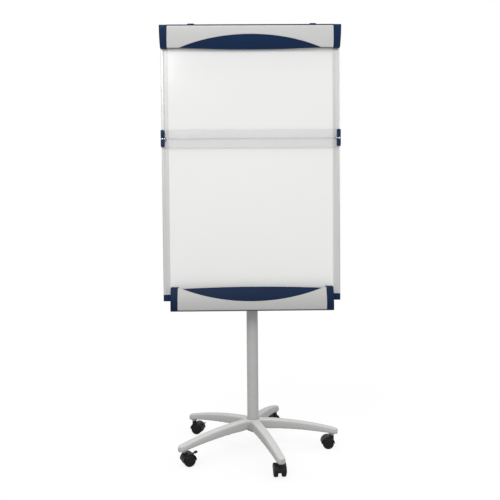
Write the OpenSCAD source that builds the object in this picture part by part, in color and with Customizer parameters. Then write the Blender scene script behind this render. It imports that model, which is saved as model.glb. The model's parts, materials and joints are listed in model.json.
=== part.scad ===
// Mobile flipchart easel: a framed dry-wipe board on a telescopic column, with a five-arm base
// on twin-wheel swivel casters, a hinged pad clamp with sliding pad hooks, a clear sliding sheet
// keeper and a pen tray. Millimetres. +Z is up, the board faces -Y, and the origin is on the
// floor under the axis of the column.

/* [Board] */
// Width over the side rails
frame_w = 768; // [740:1:840]
// Face width of a side rail
rail_w = 30; // [29:1:36]
// Depth of the frame from front to back
frame_d = 20; // [20:1:22]
// Distance from the column axis to the back of the frame
board_gap = 35; // [34:1:42]
// Height of the underside of the pen tray above the floor
tray_z = 627; // [600:1:680]
// Height of the top of the header above the floor
top_z = 1836.8; // [1800:0.5:1900]

/* [Header and tray] */
// Height of the header
header_h = 88.3; // [84:0.1:92]
// Radius of the bowed front of the header and of the tray
bow_r = 147.4; // [140:0.1:160]
// Width of one end cap of the header
header_cap_w = 33; // [30:1:36]
// Width over the pen tray
tray_w = 697; // [660:1:700]
// Height of the pen tray
tray_h = 101; // [98:1:106]
// Width of one end cap of the pen tray
tray_cap_w = 30.5; // [28:0.5:34]
// Distance of the left and right pad hooks from the middle
hook_x = [251, 265]; // [240:1:270]
// Diameter of a pad hook's peg
peg_d = 8; // [6:0.5:10]

/* [Sheet keeper] */
// Height of the clear blade
blade_h = 79; // [60:1:84]
// Height of the blade's middle above the floor
blade_z = 1364.5; // [1100:0.5:1400]

/* [Column and base] */
// Diameter of the outer column
column_d = 50; // [48:1:54]
// Diameter of the inner column
inner_d = 40; // [38:1:42]
// Height of the top of the outer column
column_top = 993; // [960:1:1010]
// Radius of the circle through the caster stems
caster_circle = 350; // [320:1:380]
// Width of an arm at the hub and near its tip
arm_w = [47, 37]; // [34:1:50]
// Turn of the base about the column, seen from above
base_turn = -1.3; // [-30:0.1:30]
// Height of the top of the base's hub
hub_top = 135.5; // [132:0.5:142]
// Diameter of a caster wheel
wheel_d = 50; // [48:1:50]
// Directions in which the five casters trail, counter-clockwise from +X
trail = [181, 218, -20, 25, 95]; // [-180:1:360]

/* [Hidden] */
$fn = 96;

// Colours shared by several pieces
navy = [0.1, 0.15, 0.25];
rail_grey = [0.84, 0.85, 0.86];
steel = [0.7, 0.7, 0.72];
black_plastic = [0.12, 0.12, 0.13];
caster_black = [0.07, 0.07, 0.075];

clearance = 0.1;                       // assembly clearance
wall_t = 3;                            // wall of the frame profiles, bowed fronts and end caps

// Frame
half_w = frame_w / 2;                  // outer side of a side rail
rail_x = half_w - rail_w;              // inner side of a side rail
y_front = -board_gap - frame_d;        // front of the frame
y_back = -board_gap;                   // back of the frame
frame_z = tray_z + 38.5;               // underside of the frame
rail_z = frame_z + 29;                 // lower end of the side rails

// Header; its bow's centre is (y, z)
header_z = top_z - header_h;           // underside of the header caps
rail_top = header_z + 49;              // top of the side rails
strip_z = top_z - 2.2;                 // underside of the header's top strip
track_z = header_z + 37;               // underside of the groove that guides the pad hooks
cap_x = half_w - header_cap_w;         // inner face of a header cap
slant = 5;                             // a header cap narrows by this much towards its underside
header_centre = [y_front + 100, header_z + 92.2];
bead_r = 7;                            // rolled hinge edge of the clamp bar
hinge_z = strip_z - 0.5 - bead_r;
hinge_y = bead_y(header_centre, bead_r, hinge_z);

// Column
inner_r = inner_d / 2;
outer_r = column_d / 2;
tube_t = 2;
outer_bore_r = outer_r - tube_t;
inner_bore_r = inner_r - tube_t;
inner_z0 = column_top - 240;           // lower end of the inner column
inner_z1 = top_z - 157;                // its upper end
bracket_z = [column_top + 250, inner_z1 - 40];
hub_low = hub_top - 56.5;              // underside of the hub
column_z = hub_low + 7;                // lower end of the outer column

// ---- helpers

// Extrudes a section drawn in (y, z) from x0 to x1.
module along_x(x0, x1) translate([x0, 0, 0]) rotate([90, 0, 90]) linear_extrude(x1 - x0) children();
// Extrudes an outline drawn in (x, z) from y0 to y1.
module along_y(y0, y1) translate([0, y1, 0]) rotate([90, 0, 0]) linear_extrude(y1 - y0) children();
// A block between two corners.
module block(low, high) translate(low) cube(high - low);
// A round bar along Y.
module bar_y(x, z, y0, y1, r) translate([x, y1, z]) rotate([90, 0, 0]) cylinder(h = y1 - y0, r = r);
// A round bar along X.
module bar_x(y, z, x0, x1, r) translate([x0, y, z]) rotate([0, 90, 0]) cylinder(h = x1 - x0, r = r);
// A screw along Y; shank and head are given as [y0, y1].
module screw_y(x, z, shank, head, shank_r, head_r) {
    bar_y(x, z, shank[0], shank[1], shank_r);
    bar_y(x, z, head[0], head[1], head_r);
}
// A flat rectangle with rounded corners.
module rounded_rect(low, high, r) {
    translate([low[0] + r, low[1]]) square([high[0] - low[0] - 2 * r, high[1] - low[1]]);
    translate([low[0], low[1] + r]) square([high[0] - low[0], high[1] - low[1] - 2 * r]);
    for (x = [low[0] + r, high[0] - r], y = [low[1] + r, high[1] - r]) translate([x, y]) circle(r);
}
// The piece on the right and its mirror image on the left.
module both() {
    children();
    mirror([1, 0, 0]) children();
}

// Y of a bead's centre at height z, with the bead touching the bow from inside.
function bead_y(centre, r, z) = centre[0] - sqrt(pow(bow_r - r, 2) - pow(z - centre[1], 2));

// Window in (y, z) that keeps the front part of a bow, up to y1.
module bow_window(centre, y1, z0, z1)
    translate([centre[0] - 1.3 * bow_r, z0]) square([y1 - centre[0] + 1.3 * bow_r, z1 - z0]);
// Bowed wall between two radii, in (y, z).
module bow_wall(centre, r_out, r_in, z0, z1) intersection() {
    difference() {
        translate(centre) circle(r_out, $fn = 360);
        translate(centre) circle(r_in, $fn = 360);
    }
    bow_window(centre, centre[0] - 20, z0, z1);
}
// Bowed solid in front of the plane y1, in (y, z).
module bow_solid(centre, r, y1, z0, z1) intersection() {
    translate(centre) circle(r, $fn = 360);
    bow_window(centre, y1, z0, z1);
}

// Points of an arc over the chord from [-half, z] to [half, z]; a negative rise makes it sag.
function arc_points(half, z, rise, steps) =
    let (r = (half * half + rise * rise) / (2 * rise), a = asin(half / r))
    [for (i = [0:steps]) let (t = -a + 2 * a * i / steps) [r * sin(t), z + rise - r + r * cos(t)]];
function reversed(points) = [for (i = [len(points) - 1:-1:0]) points[i]];
// A lens in (x, z) with its tips at tip_z. Grow raises its arch and lengthens it.
module lens(half, tip_z, arch_z, edge_z, grow) polygon(concat(
    arc_points(half + 3 * grow, tip_z, arch_z - tip_z + grow, 28),
    reversed(arc_points(half + 3 * grow, tip_z, edge_z - tip_z, 12))));

// ---- column

knob_z = column_top - 25;
knob_y = outer_r + 23;                 // inner end of the knob's grip
bolt_r = 5;                            // bolt that holds the column in the hub

module knob_hole(y1) bar_y(0, knob_z, 0, y1, 4.05);

module outer_column() color([0.62, 0.63, 0.64]) difference() {
    translate([0, 0, column_z]) cylinder(h = column_top - column_z, r = outer_r);
    translate([0, 0, column_z + 10]) cylinder(h = column_top, r = outer_bore_r);
    translate([0, 0, column_z - 4]) cylinder(h = 20, r = bolt_r);
    knob_hole(outer_r + 1);
}

module base_bolt() color(steel) {
    translate([0, 0, hub_low - 6]) cylinder(h = 6, r = 9.6, $fn = 6);
    translate([0, 0, hub_low - 0.1]) cylinder(h = 16.9, r = bolt_r);
}

module collar() color(black_plastic) difference() {
    collar_r = outer_r + 6;
    union() {
        translate([0, 0, column_top - 52]) cylinder(h = 60, r = collar_r);
        translate([0, 0, column_top + 8]) cylinder(h = 3, r1 = collar_r, r2 = outer_r + 3);
        bar_y(0, knob_z, 0, outer_r + 17, 13);
    }
    translate([0, 0, column_top - 53]) cylinder(h = 56, r = outer_r);
    translate([0, 0, column_top]) cylinder(h = 20, r = inner_r + 0.6);
    knob_hole(outer_r + 20);
}

module collar_bush() color([0.85, 0.85, 0.82]) difference() {
    union() {
        translate([0, 0, column_top - 40]) cylinder(h = 40, r = outer_bore_r);
        translate([0, 0, column_top]) cylinder(h = 3, r = outer_r - 0.1);
    }
    translate([0, 0, column_top - 41]) cylinder(h = 50, r = inner_r + 0.05);
    knob_hole(outer_r + 1);
}

module height_knob() color(black_plastic) {
    grip_r = 17;
    bar_y(0, knob_z, inner_r + clearance, outer_r + 20, 4);
    bar_y(0, knob_z, outer_r + 18, knob_y + 1, 9);
    // five-lobed grip with a recess in its outer end
    difference() {
        union() {
            bar_y(0, knob_z, knob_y, knob_y + 16, grip_r);
            for (i = [0:4])
                translate([grip_r * sin(72 * i), 0, knob_z + grip_r * cos(72 * i)])
                    bar_y(0, 0, knob_y, knob_y + 16, 6.5);
        }
        bar_y(0, knob_z, knob_y + 14, knob_y + 17, 9);
    }
}

module inner_column() color([0.75, 0.76, 0.77]) difference() {
    translate([0, 0, inner_z0]) cylinder(h = inner_z1 - inner_z0, r = inner_r);
    translate([0, 0, inner_z0 - 1]) cylinder(h = inner_z1 - inner_z0 + 2, r = inner_bore_r);
    for (z = bracket_z) bar_y(0, z, 0, inner_r + 1, 3.1);
}

module foot_bush() color([0.15, 0.15, 0.16]) difference() {
    translate([0, 0, inner_z0 - 4]) cylinder(h = 34, r = outer_bore_r - 0.05);
    translate([0, 0, inner_z0]) cylinder(h = 40, r = inner_r);
    translate([0, 0, inner_z0 - 5]) cylinder(h = 40, r = inner_bore_r - 2);
}

module column_top_cap() color(black_plastic) {
    translate([0, 0, inner_z1 - 18]) cylinder(h = 19, r = inner_bore_r - clearance);
    translate([0, 0, inner_z1]) cylinder(h = 2, r = inner_r);
    translate([0, 0, inner_z1 + 2]) cylinder(h = 2, r1 = inner_r, r2 = inner_r - 4);
}

// ---- brackets and support bars

bar_t = 5;                             // thickness of a support bar
plate_y = y_back + bar_t;              // front of a bracket's plate
plate_t = 6;
bracket_r = inner_r + 6;
bracket_h = 40;
bracket_bolt_r = 3;
bracket_bolt_x = [-44, 44];
support_screw_x = rail_x + 12;
tray_screw_x = [-260, -90, 90, 260];
tray_screw_z = frame_z + 11;
frame_screw_r = 2;

module bracket(z) color([0.2, 0.2, 0.21]) translate([0, 0, z]) difference() {
    union() {
        translate([0, 0, -bracket_h / 2]) cylinder(h = bracket_h, r = bracket_r);
        block([-bracket_r, plate_y, -bracket_h / 2], [bracket_r, 0, bracket_h / 2]);
        block([-56, plate_y, -bracket_h / 2], [56, plate_y + plate_t, bracket_h / 2]);
    }
    translate([0, 0, -bracket_h / 2 - 1]) cylinder(h = bracket_h + 2, r = inner_r);
    bar_y(0, 0, 0, bracket_r + 1, bracket_bolt_r);
    for (x = bracket_bolt_x) bar_y(x, 0, y_back, y_back + 20, bracket_bolt_r + 0.1);
}
module lower_bracket() bracket(bracket_z[0]);
module upper_bracket() bracket(bracket_z[1]);

// Bolt with a hexagon head behind y1.
module bracket_bolt(x, z, y0, y1) {
    head_h = 4;
    bar_y(x, z, y0, y1, bracket_bolt_r);
    translate([x, y1 + head_h, z]) rotate([90, 0, 0]) cylinder(h = head_h, r = 5.77, $fn = 6);
}
module bracket_bolts() color(steel) for (z = bracket_z) {
    for (x = bracket_bolt_x) bracket_bolt(x, z, y_back + 0.2, plate_y + plate_t);
    bracket_bolt(0, z, inner_bore_r - 1, bracket_r);
}

module support_bars() color([0.55, 0.56, 0.58]) for (z = bracket_z) difference() {
    block([-rail_x - 18, y_back, z - 16], [rail_x + 18, plate_y, z + 16]);
    for (x = bracket_bolt_x) bar_y(x, z, y_back - 1, plate_y + 1, bracket_bolt_r + 0.1);
    for (x = [-support_screw_x, support_screw_x])
        bar_y(x, z, y_back - 1, plate_y + 1, frame_screw_r + 0.1);
}

module frame_screws() color([0.72, 0.72, 0.74]) {
    head_r = 3.9;
    for (z = bracket_z, x = [-support_screw_x, support_screw_x])
        screw_y(x, z, [y_back - 12, plate_y + 1], [plate_y, plate_y + 2.6], frame_screw_r, head_r);
    for (x = tray_screw_x)
        screw_y(x, tray_screw_z, [y_front - 4, y_front + 12], [y_front - 5.6, y_front - 3],
            frame_screw_r, head_r);
}

// ---- board

groove = 8;                            // depth of the side rails' grooves for the panel
panel_f = y_front + 3;                 // front of the writing sheet
panel_b = y_back - 2;                  // back of the back sheet
panel_z0 = frame_z + 24;
panel_z1 = header_z + 14;
sheet_t = 1;                           // thickness of the writing sheet and of the back sheet
rail_void_x = rail_x + groove + 8;     // inner side of the hollow in a side rail
bottom_void_h = 17;                    // height of the hollow in the bottom rail
header_void_z = track_z + 18;          // underside of the upper hollow in the header rail
plug_gap = 0.2;                        // clearance of a plug in a profile's hollow

module panel(y0, y1) block([-rail_x - groove, y0, panel_z0], [rail_x + groove, y1, panel_z1]);
module writing_sheet() color([0.95, 0.95, 0.96]) panel(panel_f, panel_f + sheet_t);
module panel_core() color([0.8, 0.72, 0.6]) panel(panel_f + sheet_t, panel_b - sheet_t);
module back_sheet() color([0.7, 0.71, 0.72]) panel(panel_b - sheet_t, panel_b);

// Section of the right rail, in (x, y); its outer band stands 1 mm further forward.
module rail_section() difference() {
    union() {
        rounded_rect([rail_x, y_front + 1], [half_w, y_back], 1);
        rounded_rect([half_w - 14, y_front], [half_w, y_back], 3);
    }
    translate([rail_x - 1, panel_f]) square([groove + 1, panel_b - panel_f]);
    translate([rail_void_x, y_front + 4]) square([half_w - wall_t - rail_void_x, frame_d - 7]);
}
module rail() color(rail_grey) translate([0, 0, rail_z]) difference() {
    linear_extrude(rail_top - rail_z) rail_section();
    for (z = bracket_z) bar_y(support_screw_x, z - rail_z, y_back - 13, y_back + 1, frame_screw_r);
}
module right_rail() rail();
module left_rail() mirror([1, 0, 0]) rail();

module bottom_rail() color(rail_grey) difference() {
    along_x(-rail_x, rail_x) difference() {
        rounded_rect([y_front, frame_z], [y_back, frame_z + 32], 1);
        translate([panel_f, panel_z0]) square([panel_b - panel_f, 10]);
        translate([y_front + wall_t, frame_z + wall_t])
            square([frame_d - 2 * wall_t, bottom_void_h]);
    }
    for (x = tray_screw_x) bar_y(x, tray_screw_z, y_front - 1, y_front + 5, frame_screw_r);
}

module header_rail() color(rail_grey) along_x(-cap_x, cap_x) difference() {
    void_d = frame_d - 2 * wall_t;
    translate([y_front, header_z]) square([frame_d, strip_z - header_z]);
    // panel groove, lower hollow, hook track and upper hollow
    translate([panel_f, header_z - 1]) square([panel_b - panel_f, panel_z1 - header_z + 1]);
    translate([y_front + wall_t, header_z + 18])
        square([void_d, track_z - wall_t - header_z - 18]);
    translate([y_front - 1, track_z]) square([6, 14]);
    translate([y_front + wall_t, header_void_z])
        square([void_d, strip_z - wall_t - header_void_z]);
}

module header_top_strip() color(navy) difference() {
    slot_half = 68;                    // half length of a hook's slot
    block([-cap_x, header_centre[0] - bow_r + 1.5, strip_z], [cap_x, y_back, top_z]);
    for (x = [-hook_x[0], hook_x[1]])
        block([x - slot_half, y_front - 6, strip_z - 1],
            [x + slot_half, y_front - 0.4, top_z + 1]);
}

// Plug for the hollow of the right side rail.
module rail_plug(z0, z1)
    block([rail_void_x + plug_gap, y_front + 4 + plug_gap, z0],
        [half_w - wall_t - plug_gap, y_back - wall_t - plug_gap, z1]);
// Plug for a hollow of the bottom or header rail that reaches from z0 to z1.
module cross_plug(x0, x1, z0, z1)
    block([x0, y_front + wall_t + plug_gap, z0 + plug_gap],
        [x1, y_back - wall_t - plug_gap, z1 - plug_gap]);

module corner_cap() color(navy) {
    difference() {
        translate([0, 0, frame_z]) linear_extrude(rail_z - frame_z)
            rounded_rect([rail_x, y_front - 0.5], [half_w, y_back], 3);
        // room for the corner of the panel
        block([rail_x - 1, panel_f - clearance, panel_z0 - clearance],
            [rail_x + groove + clearance, panel_b + clearance, rail_z + 1]);
    }
    rail_plug(rail_z - 1, rail_z + 18);
    cross_plug(rail_x - 14, rail_x + 4, frame_z + wall_t, frame_z + wall_t + bottom_void_h);
}
module corner_cap_right() corner_cap();
module corner_cap_left() mirror([1, 0, 0]) corner_cap();

// ---- header: fixed end caps, hinge pins and the hinged clamp

cap_r = bow_r + 0.6;                   // bow of the end caps of the header and of the tray
pin_r = 2.5;                           // hinge pin
pin_x1 = cap_x + 20.5;                 // outer end of a hinge pin
lens_x = cap_x - 49;                   // half length of the navy lens in the clamp bar
lens_tip = header_z + 1.5;
lens_top = header_z + 50;
lens_low = header_z - 5;
// Depths below the face of the bow, for the lens inserts of the header and of the tray
insert_sunk = 1.2;                     // face of an insert
flange_f = 3.05;                       // front of the flange behind the bowed wall
flange_b = 5.2;                        // back of that flange

module header_cap() color(navy) difference() {
    union() {
        difference() {
            along_x(cap_x, half_w) union() {
                bow_solid(header_centre, cap_r, y_front, header_z, top_z);
                translate([y_front - 1, rail_top]) square([frame_d + 1, top_z - rail_top]);
            }
            along_x(cap_x + slant + wall_t, half_w - wall_t) intersection() {
                bow_solid(header_centre, cap_r - wall_t, y_front + 1,
                    header_z + wall_t, top_z - wall_t);
                translate([-300, 0]) square([300 + y_front, 3000]);
            }
            // the inner face leans outwards towards the underside
            along_y(-300, y_front) polygon([[0, top_z + 1], [cap_x, top_z + 1], [cap_x, top_z],
                [cap_x + slant, header_z], [cap_x + slant, header_z - 1], [0, header_z - 1]]);
        }
        bar_x(hinge_y, hinge_z, cap_x + slant, half_w - 1, 6);
        rail_plug(rail_top - 18, rail_top + 1);
        cross_plug(cap_x - 14, cap_x + 1, header_void_z, strip_z - wall_t);
    }
    bar_x(hinge_y, hinge_z, cap_x - 1, pin_x1 + 0.5, pin_r);
}
module header_cap_right() header_cap();
module header_cap_left() mirror([1, 0, 0]) header_cap();

module hinge_pins() color([0.75, 0.75, 0.77])
    both() bar_x(hinge_y, hinge_z, cap_x - 50, pin_x1, pin_r);

module header_lens(edge_z, grow) lens(lens_x, lens_tip, lens_top, edge_z, grow);

module clamp_bar() color([0.83, 0.84, 0.85]) difference() {
    intersection() {
        along_x(-cap_x - slant, cap_x + slant) union() {
            bow_wall(header_centre, bow_r, bow_r - wall_t, lens_tip, hinge_z);
            translate([hinge_y, hinge_z]) circle(bead_r);
        }
        // ends that follow the slanted caps, 1 mm clear of them
        along_y(-400, 0) polygon([[-cap_x + 1, top_z], [cap_x - 1, top_z],
            [cap_x - 1 + slant, header_z], [-cap_x + 1 - slant, header_z]]);
    }
    along_y(-300, -30) header_lens(lens_tip - 9, 0);
    // bores for the hinge pins and springs
    both() {
        bar_x(hinge_y, hinge_z, cap_x - 51, cap_x, pin_r + 0.05);
        bar_x(hinge_y, hinge_z, cap_x - 31, cap_x, 5.9);
    }
}

// Lens with a wider flange behind the clamp bar's wall.
module clamp_insert() color(navy) union() {
    intersection() {
        along_x(-lens_x, lens_x) bow_wall(header_centre, bow_r - insert_sunk, bow_r - flange_b,
            lens_low - 1, lens_top + 20);
        along_y(-300, -40) header_lens(lens_low, -0.7);
    }
    intersection() {
        along_x(-lens_x - 40, lens_x + 40)
            bow_wall(header_centre, bow_r - flange_f, bow_r - flange_b, lens_tip, lens_top + 20);
        along_y(-300, -40) header_lens(lens_low, 5);
    }
}

// Strip inside the clamp's lower edge, with three small grooves in its back.
module clamp_grip() color([0.08, 0.08, 0.09]) along_x(-cap_x + 6, cap_x - 6)
    difference() {
        intersection() {
            translate(header_centre) circle(bow_r - 5.25, $fn = 360);
            translate([-150, header_z + 5]) square([150 + y_front - 5, 11]);
        }
        translate([y_front - 7, header_z + 10.5]) circle(1.2);
        translate([y_front - 5, header_z + 7.5]) circle(0.8);
        translate([y_front - 5, header_z + 13.5]) circle(0.8);
    }

// A coil along Z.
module coil(mean_r, wire_r, turns, pitch) {
    steps = 14;                        // wire sections in one turn
    sides = 6;                         // corners of a wire section
    last = steps * turns;
    points = [for (i = [0:last]) let (turn = 360 * i / steps)
        for (j = [0:sides - 1]) let (a = 360 * j / sides, r = mean_r + wire_r * cos(a))
            [r * cos(turn), r * sin(turn), pitch * i / steps + wire_r * sin(a)]];
    faces = concat([[for (j = [0:sides - 1]) j]],
        [for (i = [0:last - 1]) for (j = [0:sides - 1]) let (next = (j + 1) % sides)
            [i * sides + next, i * sides + j, (i + 1) * sides + j, (i + 1) * sides + next]],
        [[for (j = [sides - 1:-1:0]) last * sides + j]]);
    polyhedron(points, faces);
}
module clamp_springs() color([0.6, 0.6, 0.62]) both()
    translate([cap_x - 28, hinge_y, hinge_z]) rotate([0, 90, 0])
        coil(mean_r = 4.5, wire_r = 0.9, turns = 9, pitch = 2.6);

// ---- pad hooks

module hook(x) color(navy) translate([x, 0, 0]) {
    half = 15;
    front = y_front - 5;
    // plate on the header rail, runner in its track, neck through the slot
    block([-half, front, track_z - 12], [half, y_front - 0.6, strip_z - 1]);
    block([-half + 2, y_front - 1, track_z + 0.4], [half - 2, y_front + 4.6, track_z + 13.6]);
    block([-6, front, strip_z - 2], [6, y_front - 0.8, top_z + 3]);
    // stepped pad on top of the header
    translate([0, 0, top_z + 0.6]) linear_extrude(5.2)
        rounded_rect([-half, y_front - 37], [half, y_front + 3], 6);
    translate([0, 0, top_z + 5]) linear_extrude(3.2)
        rounded_rect([-half + 2.5, y_front - 34.5], [half - 2.5, y_front + 0.5], 5);
    // peg
    bar_y(0, track_z + 7, y_front - 29, y_front - 4, peg_d / 2);
}
module hook_left() hook(-hook_x[0]);
module hook_right() hook(hook_x[1]);

// ---- pen tray

tray_x = tray_w / 2;                   // outer face of an end cap
tray_in = tray_x - tray_cap_w;         // inner face of an end cap
tray_top = tray_z + tray_h;
tray_base_t = 4;                       // thickness of the base strip
tray_centre = [y_front + 93.1, tray_z + 20];   // centre of the bow, (y, z)
lip_r = 5;                             // bead along the bottom of the tray front
lip_z = tray_z + tray_base_t + lip_r;
lip_y = bead_y(tray_centre, lip_r, lip_z);
tray_lens_x = tray_in - 18;            // half length of the navy lens in the tray front
tray_lens_tip = tray_top - 6;
tray_lens_top = tray_top + 0.5;
tray_lens_low = tray_z + 41.8;

// The tray's lens arches downwards; edge_z is the middle of its upper edge.
module tray_lens(edge_z, grow)
    mirror([0, 1]) lens(tray_lens_x, -tray_lens_tip, -tray_lens_low, -edge_z, grow);

module tray_front() color([0.78, 0.79, 0.8]) difference() {
    along_x(-tray_in, tray_in) union() {
        bow_wall(tray_centre, bow_r, bow_r - wall_t, lip_z, tray_top - 3);
        translate([lip_y, lip_z]) circle(lip_r);
        translate([lip_y, tray_z + tray_base_t]) square([10, 4]);
    }
    along_y(-300, -60) tray_lens(tray_lens_tip + 8, 0);
}

// Lens with a wider flange behind the tray front's wall.
module tray_insert() color(navy) union() {
    intersection() {
        along_x(-tray_lens_x, tray_lens_x) bow_wall(tray_centre, bow_r - insert_sunk, bow_r - 4.2,
            tray_lens_low - 5, tray_lens_top + 1);
        along_y(-300, -60) tray_lens(tray_lens_top, -0.7);
    }
    intersection() {
        along_x(-tray_lens_x - 40, tray_lens_x + 40)
            bow_wall(tray_centre, bow_r - flange_f, bow_r - flange_b,
                tray_lens_low - 8, tray_lens_tip - 22);
        along_y(-300, -60) tray_lens(tray_lens_top, 5);
    }
}

// Back wall, base strip and floor of the pen channel, one extruded piece.
module tray_liner() color(navy) difference() {
    base_y = tray_centre[0] - bow_r + 4;       // front of the base strip
    along_x(-tray_in, tray_in) union() {
        translate([y_front - 3, tray_z]) square([3, tray_h - 8]);
        translate([base_y, tray_z]) square([y_front - base_y, tray_base_t]);
        intersection() {
            translate(tray_centre) circle(bow_r - 5.3, $fn = 360);
            translate([-200, tray_z + 55]) square([200 + y_front, 3]);
        }
    }
    for (x = tray_screw_x) bar_y(x, tray_screw_z, y_front - 5, y_front + 1, frame_screw_r + 0.1);
}

module tray_cap() color(navy) difference() {
    along_x(tray_in, tray_x) bow_solid(tray_centre, cap_r, y_front, tray_z, tray_top);
    along_x(tray_in + wall_t, tray_x - wall_t)
        bow_solid(tray_centre, cap_r - wall_t, y_front + 1, tray_z + wall_t, tray_top - wall_t);
}
module tray_cap_right() tray_cap();
module tray_cap_left() mirror([1, 0, 0]) tray_cap();

// ---- sheet keeper

blade_x = half_w - 7;                  // end of the blade, inside its clip
blade_f = y_front - 7;                 // front of the blade
blade_t = 4;
clip_z0 = blade_z - 33.5;
clip_z1 = blade_z + 38.5;
clip_x0 = half_w - 14;                 // inner edge of a clip
clip_x1 = half_w + 2.6;                // outer side of a clip
blade_screw_x = blade_x - 7.5;         // screw that holds the blade
stud_x = half_w - 4.5;                 // screw that bears on the rail
clip_screw_r = 1.8;
recess_y = y_front - 8.5;              // floor of the recess between the two jaws

module ruler_blade() color([0.85, 0.9, 0.93, 0.4]) difference() {
    line_x = rail_x - 4;               // half length of the grooves
    block([-blade_x, blade_f, blade_z - blade_h / 2],
        [blade_x, blade_f + blade_t, blade_z + blade_h / 2]);
    // one groove in the front, two in the back
    block([-line_x, blade_f - 1, blade_z - 1.5], [line_x, blade_f + 1, blade_z + 1.5]);
    for (z = [blade_z - 34, blade_z + 34])
        block([-line_x, blade_f + blade_t - 1, z - 1], [line_x, blade_f + blade_t + 1, z + 1]);
    both() bar_y(blade_screw_x, blade_z, blade_f - 1, blade_f + blade_t + 1, clip_screw_r + 0.1);
}

module clip() color(navy) difference() {
    union() {
        intersection() {
            // hook-shaped section around the rail
            translate([0, 0, clip_z0]) linear_extrude(clip_z1 - clip_z0) difference() {
                rounded_rect([clip_x0, y_front - 11], [clip_x1, y_back + 3], 1.2);
                translate([0, y_front - 0.3]) square([half_w + 0.3, frame_d + 0.6]);
                translate([0, y_back]) square([half_w - 9, 20]);
            }
            along_y(y_front - 20, y_back + 20)
                rounded_rect([clip_x0, clip_z0], [clip_x1, clip_z1], 4);
        }
        // boss for the screw through the blade
        bar_y(blade_screw_x, blade_z, recess_y, blade_f, 5.5);
    }
    // slot for the blade
    block([0, blade_f - clearance, blade_z - blade_h / 2 - 5],
        [blade_x + 0.3, blade_f + blade_t + clearance, blade_z + blade_h / 2 + 5]);
    // recess between the upper and lower jaws
    block([clip_x0 - 5, y_front - 12, blade_z - 5], [clip_x1 + 1, recess_y, blade_z + 5]);
    bar_y(blade_screw_x, blade_z, y_front - 12, y_front, clip_screw_r);
    bar_y(stud_x, blade_z, y_front - 12, y_front + 1, clip_screw_r);
}
module ruler_clip_right() clip();
module ruler_clip_left() mirror([1, 0, 0]) clip();
module ruler_screws() color([0.9, 0.9, 0.92]) both() {
    head = [recess_y - 3.2, recess_y];
    screw_y(blade_screw_x, blade_z, [recess_y - 1, blade_f + 4.4], head, clip_screw_r, 3.5);
    screw_y(stud_x, blade_z, [recess_y - 1, y_front - 0.1], head, clip_screw_r, 4);
}

// ---- five-arm base

arm_tip = caster_circle + 27;
arm_end_r = arm_w[1] / 2;
hub_r = outer_r + 15;
boss_z = 59.5;                         // underside of the caster bosses
stem_r = 5.5;

// Heights of an arm's top and underside at radius r.
function arm_top(r) = hub_top - 49 * pow(r / arm_tip, 2);
function arm_low(r) = arm_top(r) - 41 + 17 * pow(r / arm_tip, 1.5);

// Side view of an arm from r0 to r1, with its two edges lowered by top and low.
module arm_side(top, low, r0, r1) {
    steps = 18;
    radii = [for (i = [0:steps]) r0 + (r1 - r0) * i / steps];
    rotate([90, 0, 0]) translate([0, 0, -60]) linear_extrude(120) polygon(concat(
        [for (r = radii) [r, arm_top(r) - top]],
        reversed([for (r = radii) [r, arm_low(r) - low]])));
}
module arm_plan(inset, r0, r1) {
    hub_half = arm_w[0] / 2 - inset;
    tip_half = arm_end_r - inset;
    polygon([[r0, -hub_half], [r1, -tip_half], [r1, tip_half], [r0, hub_half]]);
}
module arm() difference() {
    union() {
        intersection() {
            arm_side(0, 0, 0, arm_tip);
            linear_extrude(300) union() {
                arm_plan(0, 0, arm_tip - arm_end_r);
                translate([arm_tip - arm_end_r, 0]) circle(arm_end_r);
            }
        }
        translate([caster_circle, 0, boss_z]) cylinder(h = 18, r = 14);
    }
    // hollow that is open below
    intersection() {
        arm_side(4, 6, 0, arm_tip);
        linear_extrude(300) arm_plan(4, outer_r + 12, caster_circle - 18);
    }
    translate([caster_circle, 0, boss_z - 1]) cylinder(h = 23.2, r = stem_r);
}
module star_base() color([0.87, 0.88, 0.88]) difference() {
    union() {
        for (i = [0:4]) rotate([0, 0, base_turn + 72 * i]) arm();
        translate([0, 0, hub_low + 11]) cylinder(h = hub_top - hub_low - 14, r = hub_r);
        translate([0, 0, hub_low]) cylinder(h = 11, r1 = outer_r - 5, r2 = outer_r + 12);
        translate([0, 0, hub_top - 3]) cylinder(h = 3, r1 = hub_r, r2 = outer_r + 8);
    }
    translate([0, 0, column_z]) cylinder(h = hub_top, r = outer_r);
    translate([0, 0, hub_low - 1]) cylinder(h = 20, r = bolt_r);
}

// ---- casters: in a caster's own frame Z is the swivel axis and the wheels trail towards +X

wheel_r = wheel_d / 2;
wheel_in = 8;                          // inner face of a wheel, from the caster's mid plane
wheel_out = 25;                        // outer face of a wheel
wheel_w = wheel_out - wheel_in;
trail_x = 18;                          // offset of the axle from the swivel axis
axle_r = 3;
shank_r = 4;                           // lower part of a stem, inside the hood
hood_in = wheel_r + 1.5;
hood_out = wheel_r + 4.5;
web = 7;                               // half thickness of the hood's web
lever_angle = 48;                      // direction of the lever's pivot from the axle
lever_reach = wheel_r + 2.5;           // distance of the lever's pivot from the axle
lever_x = trail_x + lever_reach * cos(lever_angle);
lever_z = wheel_r + lever_reach * sin(lever_angle);

module at_caster(i) rotate([0, 0, base_turn + 72 * i]) translate([caster_circle, 0, 0])
    rotate([0, 0, trail[i] - base_turn - 72 * i]) children();

module caster_stems() color(steel) for (i = [0:4]) at_caster(i) {
    translate([0, 0, boss_z]) cylinder(h = 22, r = stem_r);
    translate([0, 0, boss_z - 1.6]) cylinder(h = 1.6, r = 9);
    translate([0, 0, 34]) cylinder(h = boss_z - 35, r = shank_r);
}

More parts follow.
